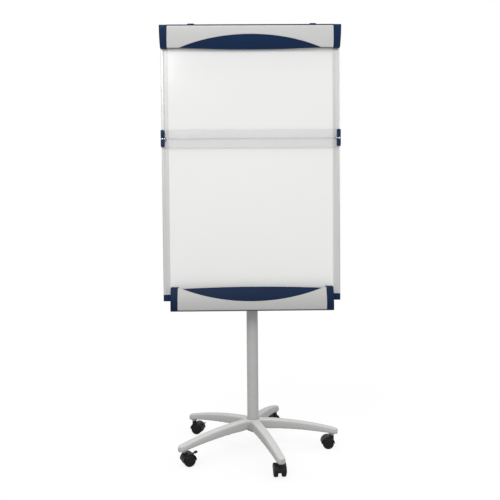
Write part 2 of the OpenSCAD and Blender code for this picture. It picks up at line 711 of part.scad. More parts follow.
module hood(i, brake) color(caster_black) at_caster(i) {
    difference() {
        union() {
            // shell over the treads
            intersection() {
                bar_y(trail_x, wheel_r, -wheel_out, wheel_out, hood_out);
                block([-60, -40, wheel_r], [80, 40, 80]);
            }
            // stem housing
            translate([0, 0, 40]) cylinder(h = boss_z - 42, r = 10);
            // leg around the axle
            bar_y(trail_x, wheel_r, -web, web, 9);
        }
        // wheel spaces on both sides of the web
        for (y = [[web, 40], [-40, -web]]) bar_y(trail_x, wheel_r, y[0], y[1], hood_in);
        translate([0, 0, 32]) cylinder(h = 40, r = shank_r + 0.05);
        bar_y(trail_x, wheel_r, -40, 40, axle_r);
        // notch for the brake lever
        if (brake) translate([lever_x, 0, lever_z]) block([-5.2, -4.3, -5.2], [20, 4.3, 12]);
    }
    // pivot of the brake lever
    if (brake) bar_y(lever_x, lever_z, -web, web, 2);
}

module axle(i) color(steel) at_caster(i)
    bar_y(trail_x, wheel_r, -wheel_out + 1.4, wheel_out - 1.4, axle_r);

// One wheel about Z, with its inner face at z = 0.
module wheel() difference() {
    edge_r = 2.5;                      // rounding of the tread's edges
    rotate_extrude() difference() {
        union() {
            translate([0, 0]) square([wheel_r - edge_r, wheel_w]);
            translate([0, edge_r]) square([wheel_r, wheel_w - 2 * edge_r]);
            for (y = [edge_r, wheel_w - edge_r]) translate([wheel_r - edge_r, y]) circle(edge_r);
        }
        // ring groove in the outer face
        translate([wheel_r - 6, wheel_w - 0.6]) square([1.2, 2]);
        // hollow in the inner face
        translate([6, -1]) square([wheel_r - 11, 6]);
    }
    translate([0, 0, -1]) cylinder(h = wheel_w, r = axle_r + 0.08);
}
module wheels(i) color([0.06, 0.06, 0.065]) at_caster(i) translate([trail_x, 0, wheel_r]) {
    translate([0, wheel_in, 0]) rotate([-90, 0, 0]) wheel();
    translate([0, -wheel_in, 0]) rotate([90, 0, 0]) wheel();
}

module brake_lever(i) color(caster_black) at_caster(i) translate([lever_x, 0, lever_z]) {
    // eye and neck
    along_y(-4, 4) difference() {
        union() {
            circle(4.2);
            rotate(20) translate([0, -1.5]) square([9, 3]);
        }
        circle(2.05);
    }
    // pedal
    rotate([0, -20, 0]) along_y(-10, 10) {
        translate([7.5, -1.7]) square([12, 3.4]);
        translate([19.5, 0]) circle(2.3);
    }
}

star_base();
base_bolt();
outer_column();
collar();
collar_bush();
caster_stems();
height_knob();
inner_column();
foot_bush();
column_top_cap();
lower_bracket();
upper_bracket();
bracket_bolts();
support_bars();
frame_screws();
writing_sheet();
panel_core();
back_sheet();
left_rail();
right_rail();
bottom_rail();
header_rail();
header_top_strip();
corner_cap_left();
corner_cap_right();
header_cap_left();
header_cap_right();
hinge_pins();
tray_front();
tray_insert();
tray_liner();
tray_cap_left();
tray_cap_right();
clamp_bar();
clamp_insert();
clamp_grip();
clamp_springs();
hook_left();
hook_right();
ruler_blade();
ruler_clip_left();
ruler_clip_right();
ruler_screws();
hood(0, false);  // caster_hood_1
hood(1, false);  // caster_hood_2
hood(2, true);  // caster_hood_3
hood(3, true);  // caster_hood_4
hood(4, false);  // caster_hood_5
axle(0);  // caster_axle_1
axle(1);  // caster_axle_2
axle(2);  // caster_axle_3
axle(3);  // caster_axle_4
axle(4);  // caster_axle_5
wheels(0);  // caster_wheels_1
wheels(1);  // caster_wheels_2
wheels(2);  // caster_wheels_3
wheels(3);  // caster_wheels_4
wheels(4);  // caster_wheels_5
brake_lever(2);  // brake_lever_3
brake_lever(3);  // brake_lever_4
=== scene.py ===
# A mobile flipchart easel: a white board with a bowed clamp header, two pad hooks, a bowed pen
# tray and a clear ruler, carried by a telescopic column on a five-arm base with twin-wheel casters.
# X runs across the board (right is +X), -Y is the front, +Z is up from the floor.
# Geometry is worked out in millimetres and turned into metres when a mesh is made.
import json
import math

import bmesh
import bpy
import numpy as np
from mathutils import Matrix, Vector


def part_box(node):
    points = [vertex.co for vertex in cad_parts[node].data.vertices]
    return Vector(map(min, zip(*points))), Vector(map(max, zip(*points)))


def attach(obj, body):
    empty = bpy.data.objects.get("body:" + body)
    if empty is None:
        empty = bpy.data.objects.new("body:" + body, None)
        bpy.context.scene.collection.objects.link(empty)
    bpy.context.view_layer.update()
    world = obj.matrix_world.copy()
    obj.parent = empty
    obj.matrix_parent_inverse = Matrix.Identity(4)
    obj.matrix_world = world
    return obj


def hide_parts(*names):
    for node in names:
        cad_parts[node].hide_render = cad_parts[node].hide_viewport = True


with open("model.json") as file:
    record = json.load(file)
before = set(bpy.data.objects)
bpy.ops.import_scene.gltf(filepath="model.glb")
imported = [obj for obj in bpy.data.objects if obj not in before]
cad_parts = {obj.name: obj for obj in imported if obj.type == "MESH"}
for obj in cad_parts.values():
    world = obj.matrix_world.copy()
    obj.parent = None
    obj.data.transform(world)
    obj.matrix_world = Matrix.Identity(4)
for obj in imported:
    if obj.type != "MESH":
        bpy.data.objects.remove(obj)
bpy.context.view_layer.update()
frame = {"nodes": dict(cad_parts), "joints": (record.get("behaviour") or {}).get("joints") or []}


JOINTS = {joint["name"]: joint for joint in frame["joints"]}
SIDES = (("right", 1), ("left", -1))
scene = bpy.context.scene


def box_mm(node):
    """The low and high corners of a CAD node's box, in millimetres."""
    low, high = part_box(node)
    return [c * 1000 for c in low], [c * 1000 for c in high]


# ------------------------------------------------------------------ shader helpers

def srgb(*levels):
    """Linear colour from 0-255 sRGB levels."""
    def linear(level):
        level = level / 255
        return level / 12.92 if level <= 0.04045 else ((level + 0.055) / 1.055) ** 2.4
    return (*(linear(level) for level in levels), 1.0)


def scaled(colour, factor):
    return (*(min(c * factor, 1) for c in colour[:3]), 1.0)


class Graph:
    """Builds the shader node tree of a material or a world."""

    def __init__(self, owner, output="ShaderNodeOutputMaterial"):
        self.owner = owner
        owner.use_nodes = True
        self.tree = owner.node_tree
        self.tree.nodes.clear()
        self.output = self.node(output)

    def node(self, kind, **values):
        """A node with its inputs, or failing that its properties, set by name."""
        node = self.tree.nodes.new(kind)
        for key, value in values.items():
            if key in node.inputs.keys():
                node.inputs[key].default_value = value
            else:
                setattr(node, key, value)
        return node

    def link(self, source, target):
        self.tree.links.new(source, target)

    def feed(self, target, value):
        """Sets an input to a constant, or links it to an output."""
        if isinstance(value, (int, float, tuple)):
            target.default_value = value
        else:
            self.link(value, target)

    def surface(self, shader):
        self.link(shader, self.output.inputs["Surface"])

    def coords(self, scale=(1, 1, 1)):
        source = self.node("ShaderNodeTexCoord")
        mapping = self.node("ShaderNodeMapping", Scale=scale)
        self.link(source.outputs["Object"], mapping.inputs["Vector"])
        return mapping.outputs["Vector"]

    def height(self, vector):
        """The Z part of a vector."""
        split = self.node("ShaderNodeSeparateXYZ")
        self.link(vector, split.inputs[0])
        return split.outputs["Z"]

    def upward(self):
        """The Z part of the surface normal."""
        return self.height(self.node("ShaderNodeNewGeometry").outputs["Normal"])

    def noise(self, vector, scale, detail=3.0, rough=0.55):
        node = self.node("ShaderNodeTexNoise", Scale=scale, Detail=detail, Roughness=rough)
        self.link(vector, node.inputs["Vector"])
        return node.outputs["Fac"]

    def remap(self, value, source, target):
        """Maps the source range onto the target range."""
        node = self.node("ShaderNodeMapRange")
        node.inputs["From Min"].default_value, node.inputs["From Max"].default_value = source
        node.inputs["To Min"].default_value, node.inputs["To Max"].default_value = target
        self.link(value, node.inputs["Value"])
        return node.outputs["Result"]

    def calc(self, operation, *operands, clamp=False):
        node = self.node("ShaderNodeMath", operation=operation, use_clamp=clamp)
        for i, value in enumerate(operands):
            self.feed(node.inputs[i], value)
        return node.outputs[0]

    def mix(self, factor, first, second):
        node = self.node("ShaderNodeMix", data_type="RGBA")
        for i, value in ((0, factor), (6, first), (7, second)):
            self.feed(node.inputs[i], value)
        return node.outputs[2]

    def mix_shader(self, factor, first, second):
        node = self.node("ShaderNodeMixShader")
        for i, source in enumerate((factor, first, second)):
            self.link(source, node.inputs[i])
        return node.outputs[0]

    def bump(self, height, strength, distance, normal=None):
        node = self.node("ShaderNodeBump", Strength=strength, Distance=distance)
        self.link(height, node.inputs["Height"])
        if normal is not None:
            self.link(normal, node.inputs["Normal"])
        return node.outputs["Normal"]

    def edges(self, radius):
        """1 on flat faces' borders, convex or concave, and 0 on the flat."""
        rounded = self.node("ShaderNodeBevel", samples=4, Radius=radius)
        geometry = self.node("ShaderNodeNewGeometry")
        dot = self.node("ShaderNodeVectorMath", operation="DOT_PRODUCT")
        self.link(rounded.outputs[0], dot.inputs[0])
        self.link(geometry.outputs["Normal"], dot.inputs[1])
        return self.remap(dot.outputs["Value"], source=(0.86, 0.995), target=(1.0, 0.0))


# ------------------------------------------------------------------ materials

EDGE_WEAR_AND_HIGHLIGHT_RADIUS = 0.0012                     # metres in from an edge that the edge wear and painted edge highlight reach
DUST_COLOUR = (0.5, 0.5, 0.5, 1)


def surface(name, colour, rough=0.4, metal=0.0, spec=0.5, rough_var=0.1, mottle=0.05,
            mottle_scale=9, grain=0.2, grain_scale=1400, grain_depth=0.00012, stretch=(1, 1, 1),
            ripple=0.0, ripple_scale=160, coat=0.0, coat_rough=0.08, edge_wear_and_highlight=0.0, edge_wear_and_highlight_colour=None,
            dust=0.0, painted_light_by_facing=None):
    """An opaque material.

    colour, edge_wear_and_highlight_colour: sRGB levels; mottle is how far the colour strays,
    rough_var the roughness.
    grain, ripple: strengths of the fine and the broad bump; stretch scales the grain's coordinates.
    edge_wear_and_highlight: how far edges, convex and concave, take edge_wear_and_highlight_colour,
    a lighter colour that is partly wear and partly a painted edge highlight; dust: how far faces
    turned up go grey.
    painted_light_by_facing: painted light and shade, (range of the normal's Z, range of brightness
    it gives); faces turned one way come out lighter, the others darker.
    """
    colour = srgb(*colour)
    g = Graph(bpy.data.materials.new(name))
    shader = g.node("ShaderNodeBsdfPrincipled")
    g.surface(shader.outputs[0])
    plain = g.coords()
    fine = g.coords(stretch)
    blotches = g.noise(plain, mottle_scale, detail=4.0, rough=0.6)
    specks = g.noise(fine, grain_scale * 0.35, detail=2.0)
    stray = g.calc("ADD", g.calc("MULTIPLY", blotches, 0.7), g.calc("MULTIPLY", specks, 0.3))
    tone = g.mix(g.remap(stray, source=(0.3, 0.7), target=(0.0, 1.0)),
                 scaled(colour, 1 - mottle), scaled(colour, 1 + mottle))
    roughness = g.remap(g.noise(fine, grain_scale * 0.12), source=(0.3, 0.7),
                        target=(rough - rough_var, rough + rough_var))
    # Lighter colour on edges, convex and concave, in patches: partly wear, partly a painted edge
    # highlight.
    if edge_wear_and_highlight:
        patches = g.remap(g.noise(plain, 240), source=(0.35, 0.6), target=(0.25, 1.0))
        worn_and_highlit = g.calc("MULTIPLY", g.edges(EDGE_WEAR_AND_HIGHLIGHT_RADIUS), patches, clamp=True)
        worn_and_highlit = g.calc("MULTIPLY", worn_and_highlit, edge_wear_and_highlight, clamp=True)
        tone = g.mix(worn_and_highlit, tone, srgb(*edge_wear_and_highlight_colour))
    if dust:
        up = g.remap(g.upward(), source=(0.3, 1.0), target=(0.0, 1.0))
        patches = g.remap(g.noise(plain, 60, detail=5.0), source=(0.35, 0.65), target=(0.2, 1.0))
        settled = g.calc("MULTIPLY", up, patches, clamp=True)
        tone = g.mix(g.calc("MULTIPLY", settled, dust, clamp=True), tone, DUST_COLOUR)
    # Painted light and shade: the colour is scaled by the normal's Z, lighter or darker as light
    # would fall on faces turned up or down.
    if painted_light_by_facing:
        shade = g.node("ShaderNodeVectorMath", operation="SCALE")
        g.link(tone, shade.inputs[0])
        g.link(g.remap(g.upward(), *painted_light_by_facing), shade.inputs["Scale"])
        tone = shade.outputs[0]
    g.link(tone, shader.inputs["Base Color"])
    g.link(roughness, shader.inputs["Roughness"])
    for key, value in (("Metallic", metal), ("Specular IOR Level", spec),
                       ("Coat Weight", coat), ("Coat Roughness", coat_rough)):
        shader.inputs[key].default_value = value
    normal = None
    if ripple:
        normal = g.bump(g.noise(plain, ripple_scale, detail=2.0), ripple, distance=0.0006)
    normal = g.bump(g.noise(fine, grain_scale, detail=2.5), grain, grain_depth, normal)
    g.link(normal, shader.inputs["Normal"])
    return g.owner


def clear_acrylic(mid_z, half_height):
    """Clear plastic, greyer where it turns away, with painted shade as grey bands at the middle
    groove and at the long edges.

    Both sizes are in metres.
    """
    g = Graph(bpy.data.materials.new("clear_acrylic"))
    plain = g.coords()
    turn = g.node("ShaderNodeLayerWeight", Blend=0.35)
    tint = g.mix(turn.outputs["Facing"], srgb(255, 255, 255), srgb(228, 230, 230))
    off = g.calc("ABSOLUTE", g.calc("SUBTRACT", g.height(plain), mid_z))
    # Painted shade: grey bands in the tint along the middle groove and the long bevelled edges.
    groove = g.remap(off, source=(0.0018, 0.0045), target=(0.14, 0.0))
    rim_painted_shade = g.remap(off, source=(half_height - 0.0055, half_height - 0.002), target=(0.0, 0.10))
    tint = g.mix(g.calc("MAXIMUM", groove, rim_painted_shade), tint, srgb(196, 197, 198))
    see_through = g.node("ShaderNodeBsdfTransparent")
    g.link(tint, see_through.inputs["Color"])
    milky = g.node("ShaderNodeBsdfPrincipled", Roughness=0.35)
    milky.inputs["Base Color"].default_value = srgb(218, 220, 221)
    gloss = g.node("ShaderNodeBsdfGlossy", Color=(1, 1, 1, 1))
    g.link(g.remap(g.noise(plain, 90), source=(0.3, 0.7), target=(0.05, 0.14)),
           gloss.inputs["Roughness"])
    normal = g.bump(g.noise(g.coords((1, 1, 6)), 40, detail=2.0), strength=0.05, distance=0.001)
    g.link(normal, gloss.inputs["Normal"])
    haze = g.remap(g.noise(plain, 14, detail=4.0), source=(0.3, 0.7), target=(0.012, 0.026))
    body = g.mix_shader(haze, see_through.outputs[0], milky.outputs[0])
    fresnel = g.node("ShaderNodeFresnel", IOR=1.45)
    g.link(normal, fresnel.inputs["Normal"])
    shine = g.calc("MULTIPLY", fresnel.outputs[0], 0.22)
    g.surface(g.mix_shader(shine, body, gloss.outputs[0]))
    return g.owner


GRAIN_ALONG_X = (0.02, 1, 1)
GRAIN_ALONG_Z = (1, 1, 0.02)
COATED = dict(rough_var=0.05, ripple_scale=420, grain=0.10, grain_scale=1600)
BRUSHED = dict(mottle_scale=5, rough_var=0.05, grain=0.09, grain_scale=1400, grain_depth=0.00008)
BRUSHED_DULL = dict(BRUSHED, rough=0.52, mottle=0.012, stretch=GRAIN_ALONG_X)
NAVY = dict(mottle=0.05, rough_var=0.07, grain=0.22, grain_scale=2200, grain_depth=0.0001)

SURFACES = {
    # Painted light and shade on the base: the arms' tops lighter, their sides darker.
    "base_coat": dict(COATED, colour=(196, 196, 195), rough=0.36, spec=0.42, mottle=0.02,
                      ripple=0.10, coat=0.15, coat_rough=0.2, painted_light_by_facing=((-0.1, 0.85), (0.80, 1.10))),
    "column_coat": dict(COATED, colour=(187, 187, 186), rough=0.40, spec=0.45, mottle=0.03,
                        ripple=0.08, rough_var=0.06, coat=0.1),
    "inner_tube": dict(colour=(214, 216, 219), rough=0.14, metal=1.0, mottle=0.03, rough_var=0.05,
                       grain=0.04, grain_scale=900, stretch=GRAIN_ALONG_Z),
    "zinc": dict(colour=(190, 192, 196), rough=0.3, metal=1.0, mottle=0.10, mottle_scale=90,
                 grain=0.12, grain_scale=1500),
    "spring_steel": dict(colour=(150, 151, 155), rough=0.28, metal=1.0, mottle=0.08,
                         mottle_scale=120),
    "bright_screw": dict(colour=(232, 233, 236), rough=0.09, metal=1.0, mottle=0.02,
                         rough_var=0.04, grain=0.03),
    # Painted light and shade on the header bow: its lower, down-turned face lighter, its top darker.
    "anodised_head": dict(BRUSHED_DULL, colour=(222, 222, 221), metal=0.12, spec=0.35,
                          painted_light_by_facing=((-0.62, -0.03), (1.07, 0.86))),
    # A darker copy of the anodised finish for the tray's bow: painted shade.
    "anodised_tray_painted_shade": dict(BRUSHED_DULL, colour=(188, 188, 187), metal=0.15, spec=0.3),
    "anodised": dict(BRUSHED, colour=(225, 225, 224), rough=0.40, metal=0.4, mottle=0.015,
                     stretch=GRAIN_ALONG_X),
    "anodised_z": dict(BRUSHED, colour=(223, 223, 222), rough=0.38, metal=0.6, mottle=0.015,
                       stretch=GRAIN_ALONG_Z),
    "navy_plastic": dict(NAVY, colour=(9, 41, 78), rough=0.46, spec=0.22, edge_wear_and_highlight=0.35,
                         edge_wear_and_highlight_colour=(74, 98, 132)),
    # A darker, less shiny copy of the navy plastic for the tray's insert and end caps: painted
    # shade.
    "navy_tray_painted_shade": dict(NAVY, colour=(8, 33, 64), rough=0.52, spec=0.16, edge_wear_and_highlight=0.3,
                      edge_wear_and_highlight_colour=(60, 84, 118)),
    "black_plastic": dict(colour=(13, 13, 15), rough=0.36, spec=0.34, mottle=0.08, rough_var=0.08,
                          grain=0.22, grain_scale=2000, edge_wear_and_highlight=0.3, edge_wear_and_highlight_colour=(80, 80, 84),
                          dust=0.03),
    "wheel_black": dict(colour=(11, 11, 13), rough=0.32, spec=0.34, mottle=0.10, grain=0.15,
                        grain_scale=1500, edge_wear_and_highlight=0.25, edge_wear_and_highlight_colour=(70, 70, 74), dust=0.03),
    "bush": dict(colour=(216, 216, 208), rough=0.45, mottle=0.03),
    "enamel": dict(colour=(243, 243, 242), rough=0.17, mottle=0.008, mottle_scale=3,
                   rough_var=0.05, grain=0.02, grain_scale=500, grain_depth=0.00005, ripple=0.02,
                   ripple_scale=60, coat=0.3, coat_rough=0.06),
    "board_core": dict(colour=(186, 160, 122), rough=0.75, mottle=0.15, mottle_scale=200,
                       grain=0.5, grain_scale=900),
    "back_zinc": dict(colour=(196, 199, 203), rough=0.42, metal=0.5, mottle_scale=40, ripple=0.04,
                      ripple_scale=90, grain=0.08),
    "rubber_grip": dict(colour=(34, 34, 36), rough=0.7, spec=0.3, mottle=0.1, grain=0.4,
                        grain_scale=1500),
    "liner_grey": dict(colour=(74, 75, 78), rough=0.6, spec=0.3, mottle=0.08, grain=0.3,
                       grain_scale=900),
}
MATERIALS = {name: surface(name, **look) for name, look in SURFACES.items()}


# ------------------------------------------------------------------ objects and meshes
# A part is a closed piece: (vertices in millimetres, faces).

def mesh_of(name, parts):
    vertices, faces = [], []
    for part_vertices, part_faces in parts:
        first = len(vertices)
        vertices += [tuple(c * 0.001 for c in point) for point in part_vertices]
        faces += [tuple(i + first for i in face) for face in part_faces]
    mesh = bpy.data.meshes.new(name)
    mesh.from_pydata(vertices, [], faces)
    return mesh


def face_outwards(mesh, weld=False, extra=None):
    """Turns all normals outwards, after welding doubles or adding an extra mesh."""
    bm = bmesh.new()
    bm.from_mesh(mesh)
    if extra:
        bm.from_mesh(extra)
    if weld:
        bmesh.ops.remove_doubles(bm, verts=bm.verts, dist=2e-6)
        bmesh.ops.dissolve_degenerate(bm, edges=bm.edges, dist=1e-6)
    bmesh.ops.recalc_face_normals(bm, faces=bm.faces)
    bm.to_mesh(mesh)
    bm.free()


def linked_object(name, mesh):
    obj = bpy.data.objects.new(name, mesh)
    scene.collection.objects.link(obj)
    return obj


def baked(obj):
    """The object's mesh with its modifiers applied. The object itself goes."""
    depsgraph = bpy.context.evaluated_depsgraph_get()
    mesh = bpy.data.meshes.new_from_object(obj.evaluated_get(depsgraph))
    bpy.data.objects.remove(obj)
    return mesh


def bevel_edges(obj, width, angle, segments):
    """Rounds edges sharper than angle degrees. Width is in millimetres."""
    bevel = obj.modifiers.new("edges", "BEVEL")
    bevel.width = width * 0.001
    bevel.segments = segments
    bevel.limit_method = "ANGLE"
    bevel.angle_limit = math.radians(angle)
    bevel.use_clamp_overlap = True


def weight_normals(obj):
    normals = obj.modifiers.new("normals", "WEIGHTED_NORMAL")
    normals.keep_sharp = True
    normals.weight = 60


def smooth_faces(mesh):
    mesh.polygons.foreach_set("use_smooth", [True] * len(mesh.polygons))


def skin_mesh(node, mesh, material, body, smooth=32, bevel=0.0, matrix=None):
    """An object that stands for a CAD node and rides on a body. Smooth is in degrees."""
    smooth_faces(mesh)
    mesh.set_sharp_from_angle(angle=math.radians(smooth))
    mesh.materials.clear()
    mesh.materials.append(MATERIALS[material])
    obj = linked_object(f"{node}_skin", mesh)
    if matrix is not None:
        obj.matrix_world = matrix
    if bevel:
        bevel_edges(obj, bevel, angle=40, segments=2)
        weight_normals(obj)
    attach(obj, body)
    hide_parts(node)


def skin(node, parts, material, body, **options):
    """The same, from a list of parts."""
    mesh = mesh_of(f"{node}_skin", parts)
    face_outwards(mesh, weld=True)
    skin_mesh(node, mesh, material, body, **options)


def dress(node, material, bevel=0.0, segments=2):
    """A CAD node that keeps its own mesh, with a better material and softened edges."""
    obj = frame["nodes"][node]
    if len(obj.material_slots) == 0:
        obj.data.materials.append(MATERIALS[material])
    for slot in obj.material_slots:
        slot.material = MATERIALS[material]
    smooth_faces(obj.data)
    weld = obj.modifiers.new("weld", "WELD")
    weld.merge_threshold = 0.00001
    if bevel:
        bevel_edges(obj, bevel, angle=34, segments=segments)
    weight_normals(obj)


def fused(parts, voxel, rounds, factor):
    """Joins overlapping parts into one skin and softens where they meet."""
    mesh = mesh_of("tmp", parts)
    face_outwards(mesh)
    obj = linked_object("tmp", mesh)
    remesh = obj.modifiers.new("remesh", "REMESH")
    remesh.mode = "VOXEL"
    remesh.voxel_size = voxel * 0.001
    soften = obj.modifiers.new("soften", "SMOOTH")
    soften.factor = factor
    soften.iterations = rounds
    result = baked(obj)
    bpy.data.meshes.remove(mesh)
    return result


# ------------------------------------------------------------------ outlines

def signed_area(outline):
    following = outline[1:] + outline[:1]
    return 0.5 * sum(a[0] * b[1] - b[0] * a[1] for a, b in zip(outline, following))


def inset(outline, depth):
    """Moves an outline inwards, mitred."""
    if abs(depth) < 1e-9:
        return list(outline)
    count = len(outline)
    sign = 1 if signed_area(outline) > 0 else -1
    moved_points = []
    for i in range(count):
        before, here = Vector(outline[i - 1]), Vector(outline[i])
        after = Vector(outline[(i + 1) % count])
        edge_in, edge_out = here - before, after - here
        edge_in = edge_in.normalized() if edge_in.length > 1e-9 else edge_out.normalized()
        edge_out = edge_out.normalized() if edge_out.length > 1e-9 else edge_in
        mitre = Vector((-edge_in.y, edge_in.x)) * sign + Vector((-edge_out.y, edge_out.x)) * sign
        mitre = mitre / max(mitre.length_squared / 2, 0.35)
        moved_points.append((here.x + mitre.x * depth, here.y + mitre.y * depth))
    return moved_points


def round_corners(outline, radius, steps=5):
    """Rounds an outline's corners. Radius is one number, or a list with one for each corner."""
    count = len(outline)
    radii = [radius] * count if isinstance(radius, (int, float)) else radius
    rounded = []
    for i in range(count):
        corner = Vector(outline[i])
        back = Vector(outline[i - 1]) - corner
        ahead = Vector(outline[(i + 1) % count]) - corner
        length_back, length_ahead = back.length, ahead.length
        back.normalize()
        ahead.normalize()
        opening = math.acos(max(-1, min(1, back.dot(ahead))))
        if radii[i] <= 1e-6 or opening > math.radians(176):
            rounded.append((corner.x, corner.y))
            continue
        reach = min(radii[i] / math.tan(opening / 2), 0.49 * length_back, 0.49 * length_ahead)
        fitted = reach * math.tan(opening / 2)
        centre = corner + (back + ahead).normalized() * (fitted / math.sin(opening / 2))
        first, last = corner + back * reach - centre, corner + ahead * reach - centre
        start, end = math.atan2(first.y, first.x), math.atan2(last.y, last.x)
        sweep = (end - start + math.pi) % (2 * math.pi) - math.pi
        for k in range(steps + 1):
            angle = start + sweep * k / steps
            rounded.append((centre.x + fitted * math.cos(angle),
                            centre.y + fitted * math.sin(angle)))
    return rounded


def rect(left, low, right, high):
    return [(left, low), (right, low), (right, high), (left, high)]


def mirrored(points, side):
    """Points (x, other) of the right side, put on side 1 (right) or -1 (left)."""
    return [(side * x, other) for x, other in points]


# ------------------------------------------------------------------ parts

def loft(rings):
    """Skins a row of equal rings and caps both ends."""
    count = len(rings[0])
    last = (len(rings) - 1) * count
    faces = []
    for a in range(0, last, count):
        b = a + count
        for i in range(count):
            j = (i + 1) % count
            faces.append((a + i, a + j, b + j, b + i))
    faces.append(tuple(range(count - 1, -1, -1)))
    faces.append(tuple(last + i for i in range(count)))
    return [point for ring in rings for point in ring], faces


def place(axis, along, u, v):
    return {"x": (along, u, v), "y": (u, along, v), "z": (u, v, along)}[axis]


def end_stations(start, end, start_round, end_round, steps):
    """(place along the axis, inset) for a prism with rounded ends."""
    def quarter(radius):
        angles = [math.pi / 2 * k / steps for k in range(steps + 1 if radius else 1)]
        return [(radius * (1 - math.cos(q)), radius * (1 - math.sin(q))) for q in angles]
    return ([(start + depth, narrow) for depth, narrow in quarter(start_round)]
            + [(end - depth, narrow) for depth, narrow in reversed(quarter(end_round))])


def prism(outline, axis, start, end, start_round=0.0, end_round=None, steps=3):
    """An outline extruded along an axis, with rounded ends."""
    end_round = start_round if end_round is None else end_round
    stations = end_stations(start, end, start_round, end_round, steps)
    return loft([[place(axis, along, u, v) for u, v in inset(outline, narrow)]
                 for along, narrow in stations])


def revolve(profile, axis, centre, steps):
    """A closed (radius, height) profile turned about the y or z axis through a centre."""
    vertices, faces = [], []
    count = len(profile)
    for k in range(steps):
        angle = 2 * math.pi * k / steps
        cos, sin = math.cos(angle), math.sin(angle)
        for radius, height in profile:
            offset = place(axis, height, radius * cos, radius * sin)
            vertices.append(tuple(c + o for c, o in zip(centre, offset)))
    for k in range(steps):
        a, b = k * count, (k + 1) % steps * count
        for i in range(count):
            j = (i + 1) % count
            faces.append((a + i, a + j, b + j, b + i))
    return vertices, faces


def moved(part, matrix):
    vertices, faces = part
    return [tuple(matrix @ Vector(point)) for point in vertices], faces


# ------------------------------------------------------------------ sizes from the frame

cap_box = box_mm("header_cap_right")
header_low, header_top, half_width = cap_box[0][2], cap_box[1][2], cap_box[1][0]
strip_box = box_mm("header_top_strip")
strip_low, cap_inner = strip_box[0][2], strip_box[1][0]
(rail_inner, board_front, rail_low), (_, board_back, rail_top) = box_mm("right_rail")
pins_low, pins_high = box_mm("hinge_pins")
hinge_y, hinge_z = (pins_low[1] + pins_high[1]) / 2, (pins_low[2] + pins_high[2]) / 2
(tray_cap_inner, _, tray_low), (tray_half_width, _, tray_top) = box_mm("tray_cap_right")
frame_low = box_mm("corner_cap_right")[0][2]

# ------------------------------------------------------------------ bowed fronts
# The header and the tray share one bow: part of a cylinder along X. An axis is its (y, z).

BOW_RADIUS = 147.4
BOW_THICKNESS = 3
CAP_BOW_RADIUS = BOW_RADIUS + 0.6        # the end caps stand a little proud
HEADER_AXIS = (board_front + 100, header_low + 92.2)
TRAY_AXIS = (board_front + 93.1, tray_low + 20)


def bow_y(axis, radius, z):
    """Where the bow's front is at a height."""
    return axis[0] - math.sqrt(radius * radius - (z - axis[1]) ** 2)


def arch(x, half_span, tip, apex):
    """Height of a shallow arc through (+-half_span, tip) and (0, apex)."""
    rise = abs(apex - tip)
    if abs(x) >= half_span or rise < 1e-9:
        return tip
    radius = (half_span * half_span + rise * rise) / (2 * rise)
    height = math.sqrt(radius * radius - x * x) - (radius - rise)
    return tip + math.copysign(height, apex - tip)


def x_stations(half_span, step, mark=None):
    """Stations from -half_span to half_span, closer together near +-mark."""
    count = max(2, int(2 * half_span / step))
    found = {round(-half_span + 2 * half_span * i / count, 4) for i in range(count + 1)}
    if mark is not None:
        for offset in (-12, -6, -3, -1.2, 0, 1.2, 3, 6, 12, 20):
            for side in (-1, 1):
                x = side * (mark + offset)
                if -half_span < x < half_span:
                    found.add(round(x, 4))
    found = sorted(found)
    kept = [found[0]]
    for x in found[1:]:
        if x - kept[-1] > 0.6:
            kept.append(x)
    kept[-1] = found[-1]
    return kept


def bow_front(axis, stations, cut, bead, side):
    """A bowed sheet with a rolled bead on one long edge and the other cut back to cut(x).

    bead: (y, z, radius); side: 1 with the bead on the top edge, -1 on the bottom edge.
    """
    axis_y, axis_u = axis[0], side * axis[1]
    bead_y, bead_u, bead_radius = bead[0], side * bead[1], bead[2]
    outer, inner, to_bead = BOW_RADIUS, BOW_RADIUS - BOW_THICKNESS, BOW_RADIUS - bead_radius
    bead_angle = math.asin((axis_u - bead_u) / to_bead)
    bead_start = math.atan2(-math.sin(bead_angle), -math.cos(bead_angle))
    # The bead's circle runs round until it meets the sheet's inner face.
    meeting = (inner ** 2 - to_bead ** 2 - bead_radius * bead_radius) / (2 * bead_radius * to_bead)
    sweep = 2 * math.pi - math.acos(max(-1, min(1, meeting)))
    bead_end_u = bead_u + bead_radius * math.sin(bead_start - sweep)
    inner_start = math.asin((axis_u - bead_end_u) / inner)
    outer_steps, bead_steps, inner_steps = 22, 20, 14

    def on_bow(x, radius, angle):
        return (x, axis_y - radius * math.cos(angle), side * (axis_u - radius * math.sin(angle)))

    rings = []
    for x in stations:
        edge_u = side * cut(x)
        outer_edge = math.asin((axis_u - edge_u) / outer)
        inner_edge = math.asin((axis_u - edge_u) / inner)
        ring = [on_bow(x, outer, outer_edge + (bead_angle - outer_edge) * i / outer_steps)
                for i in range(outer_steps + 1)]
        for i in range(1, bead_steps + 1):
            angle = bead_start - sweep * i / bead_steps
            ring.append((x, bead_y + bead_radius * math.cos(angle),
                         side * (bead_u + bead_radius * math.sin(angle))))
        ring += [on_bow(x, inner, inner_start + (inner_edge - inner_start) * i / inner_steps)
                 for i in range(1, inner_steps + 1)]
        rings.append(ring)
    return loft(rings)


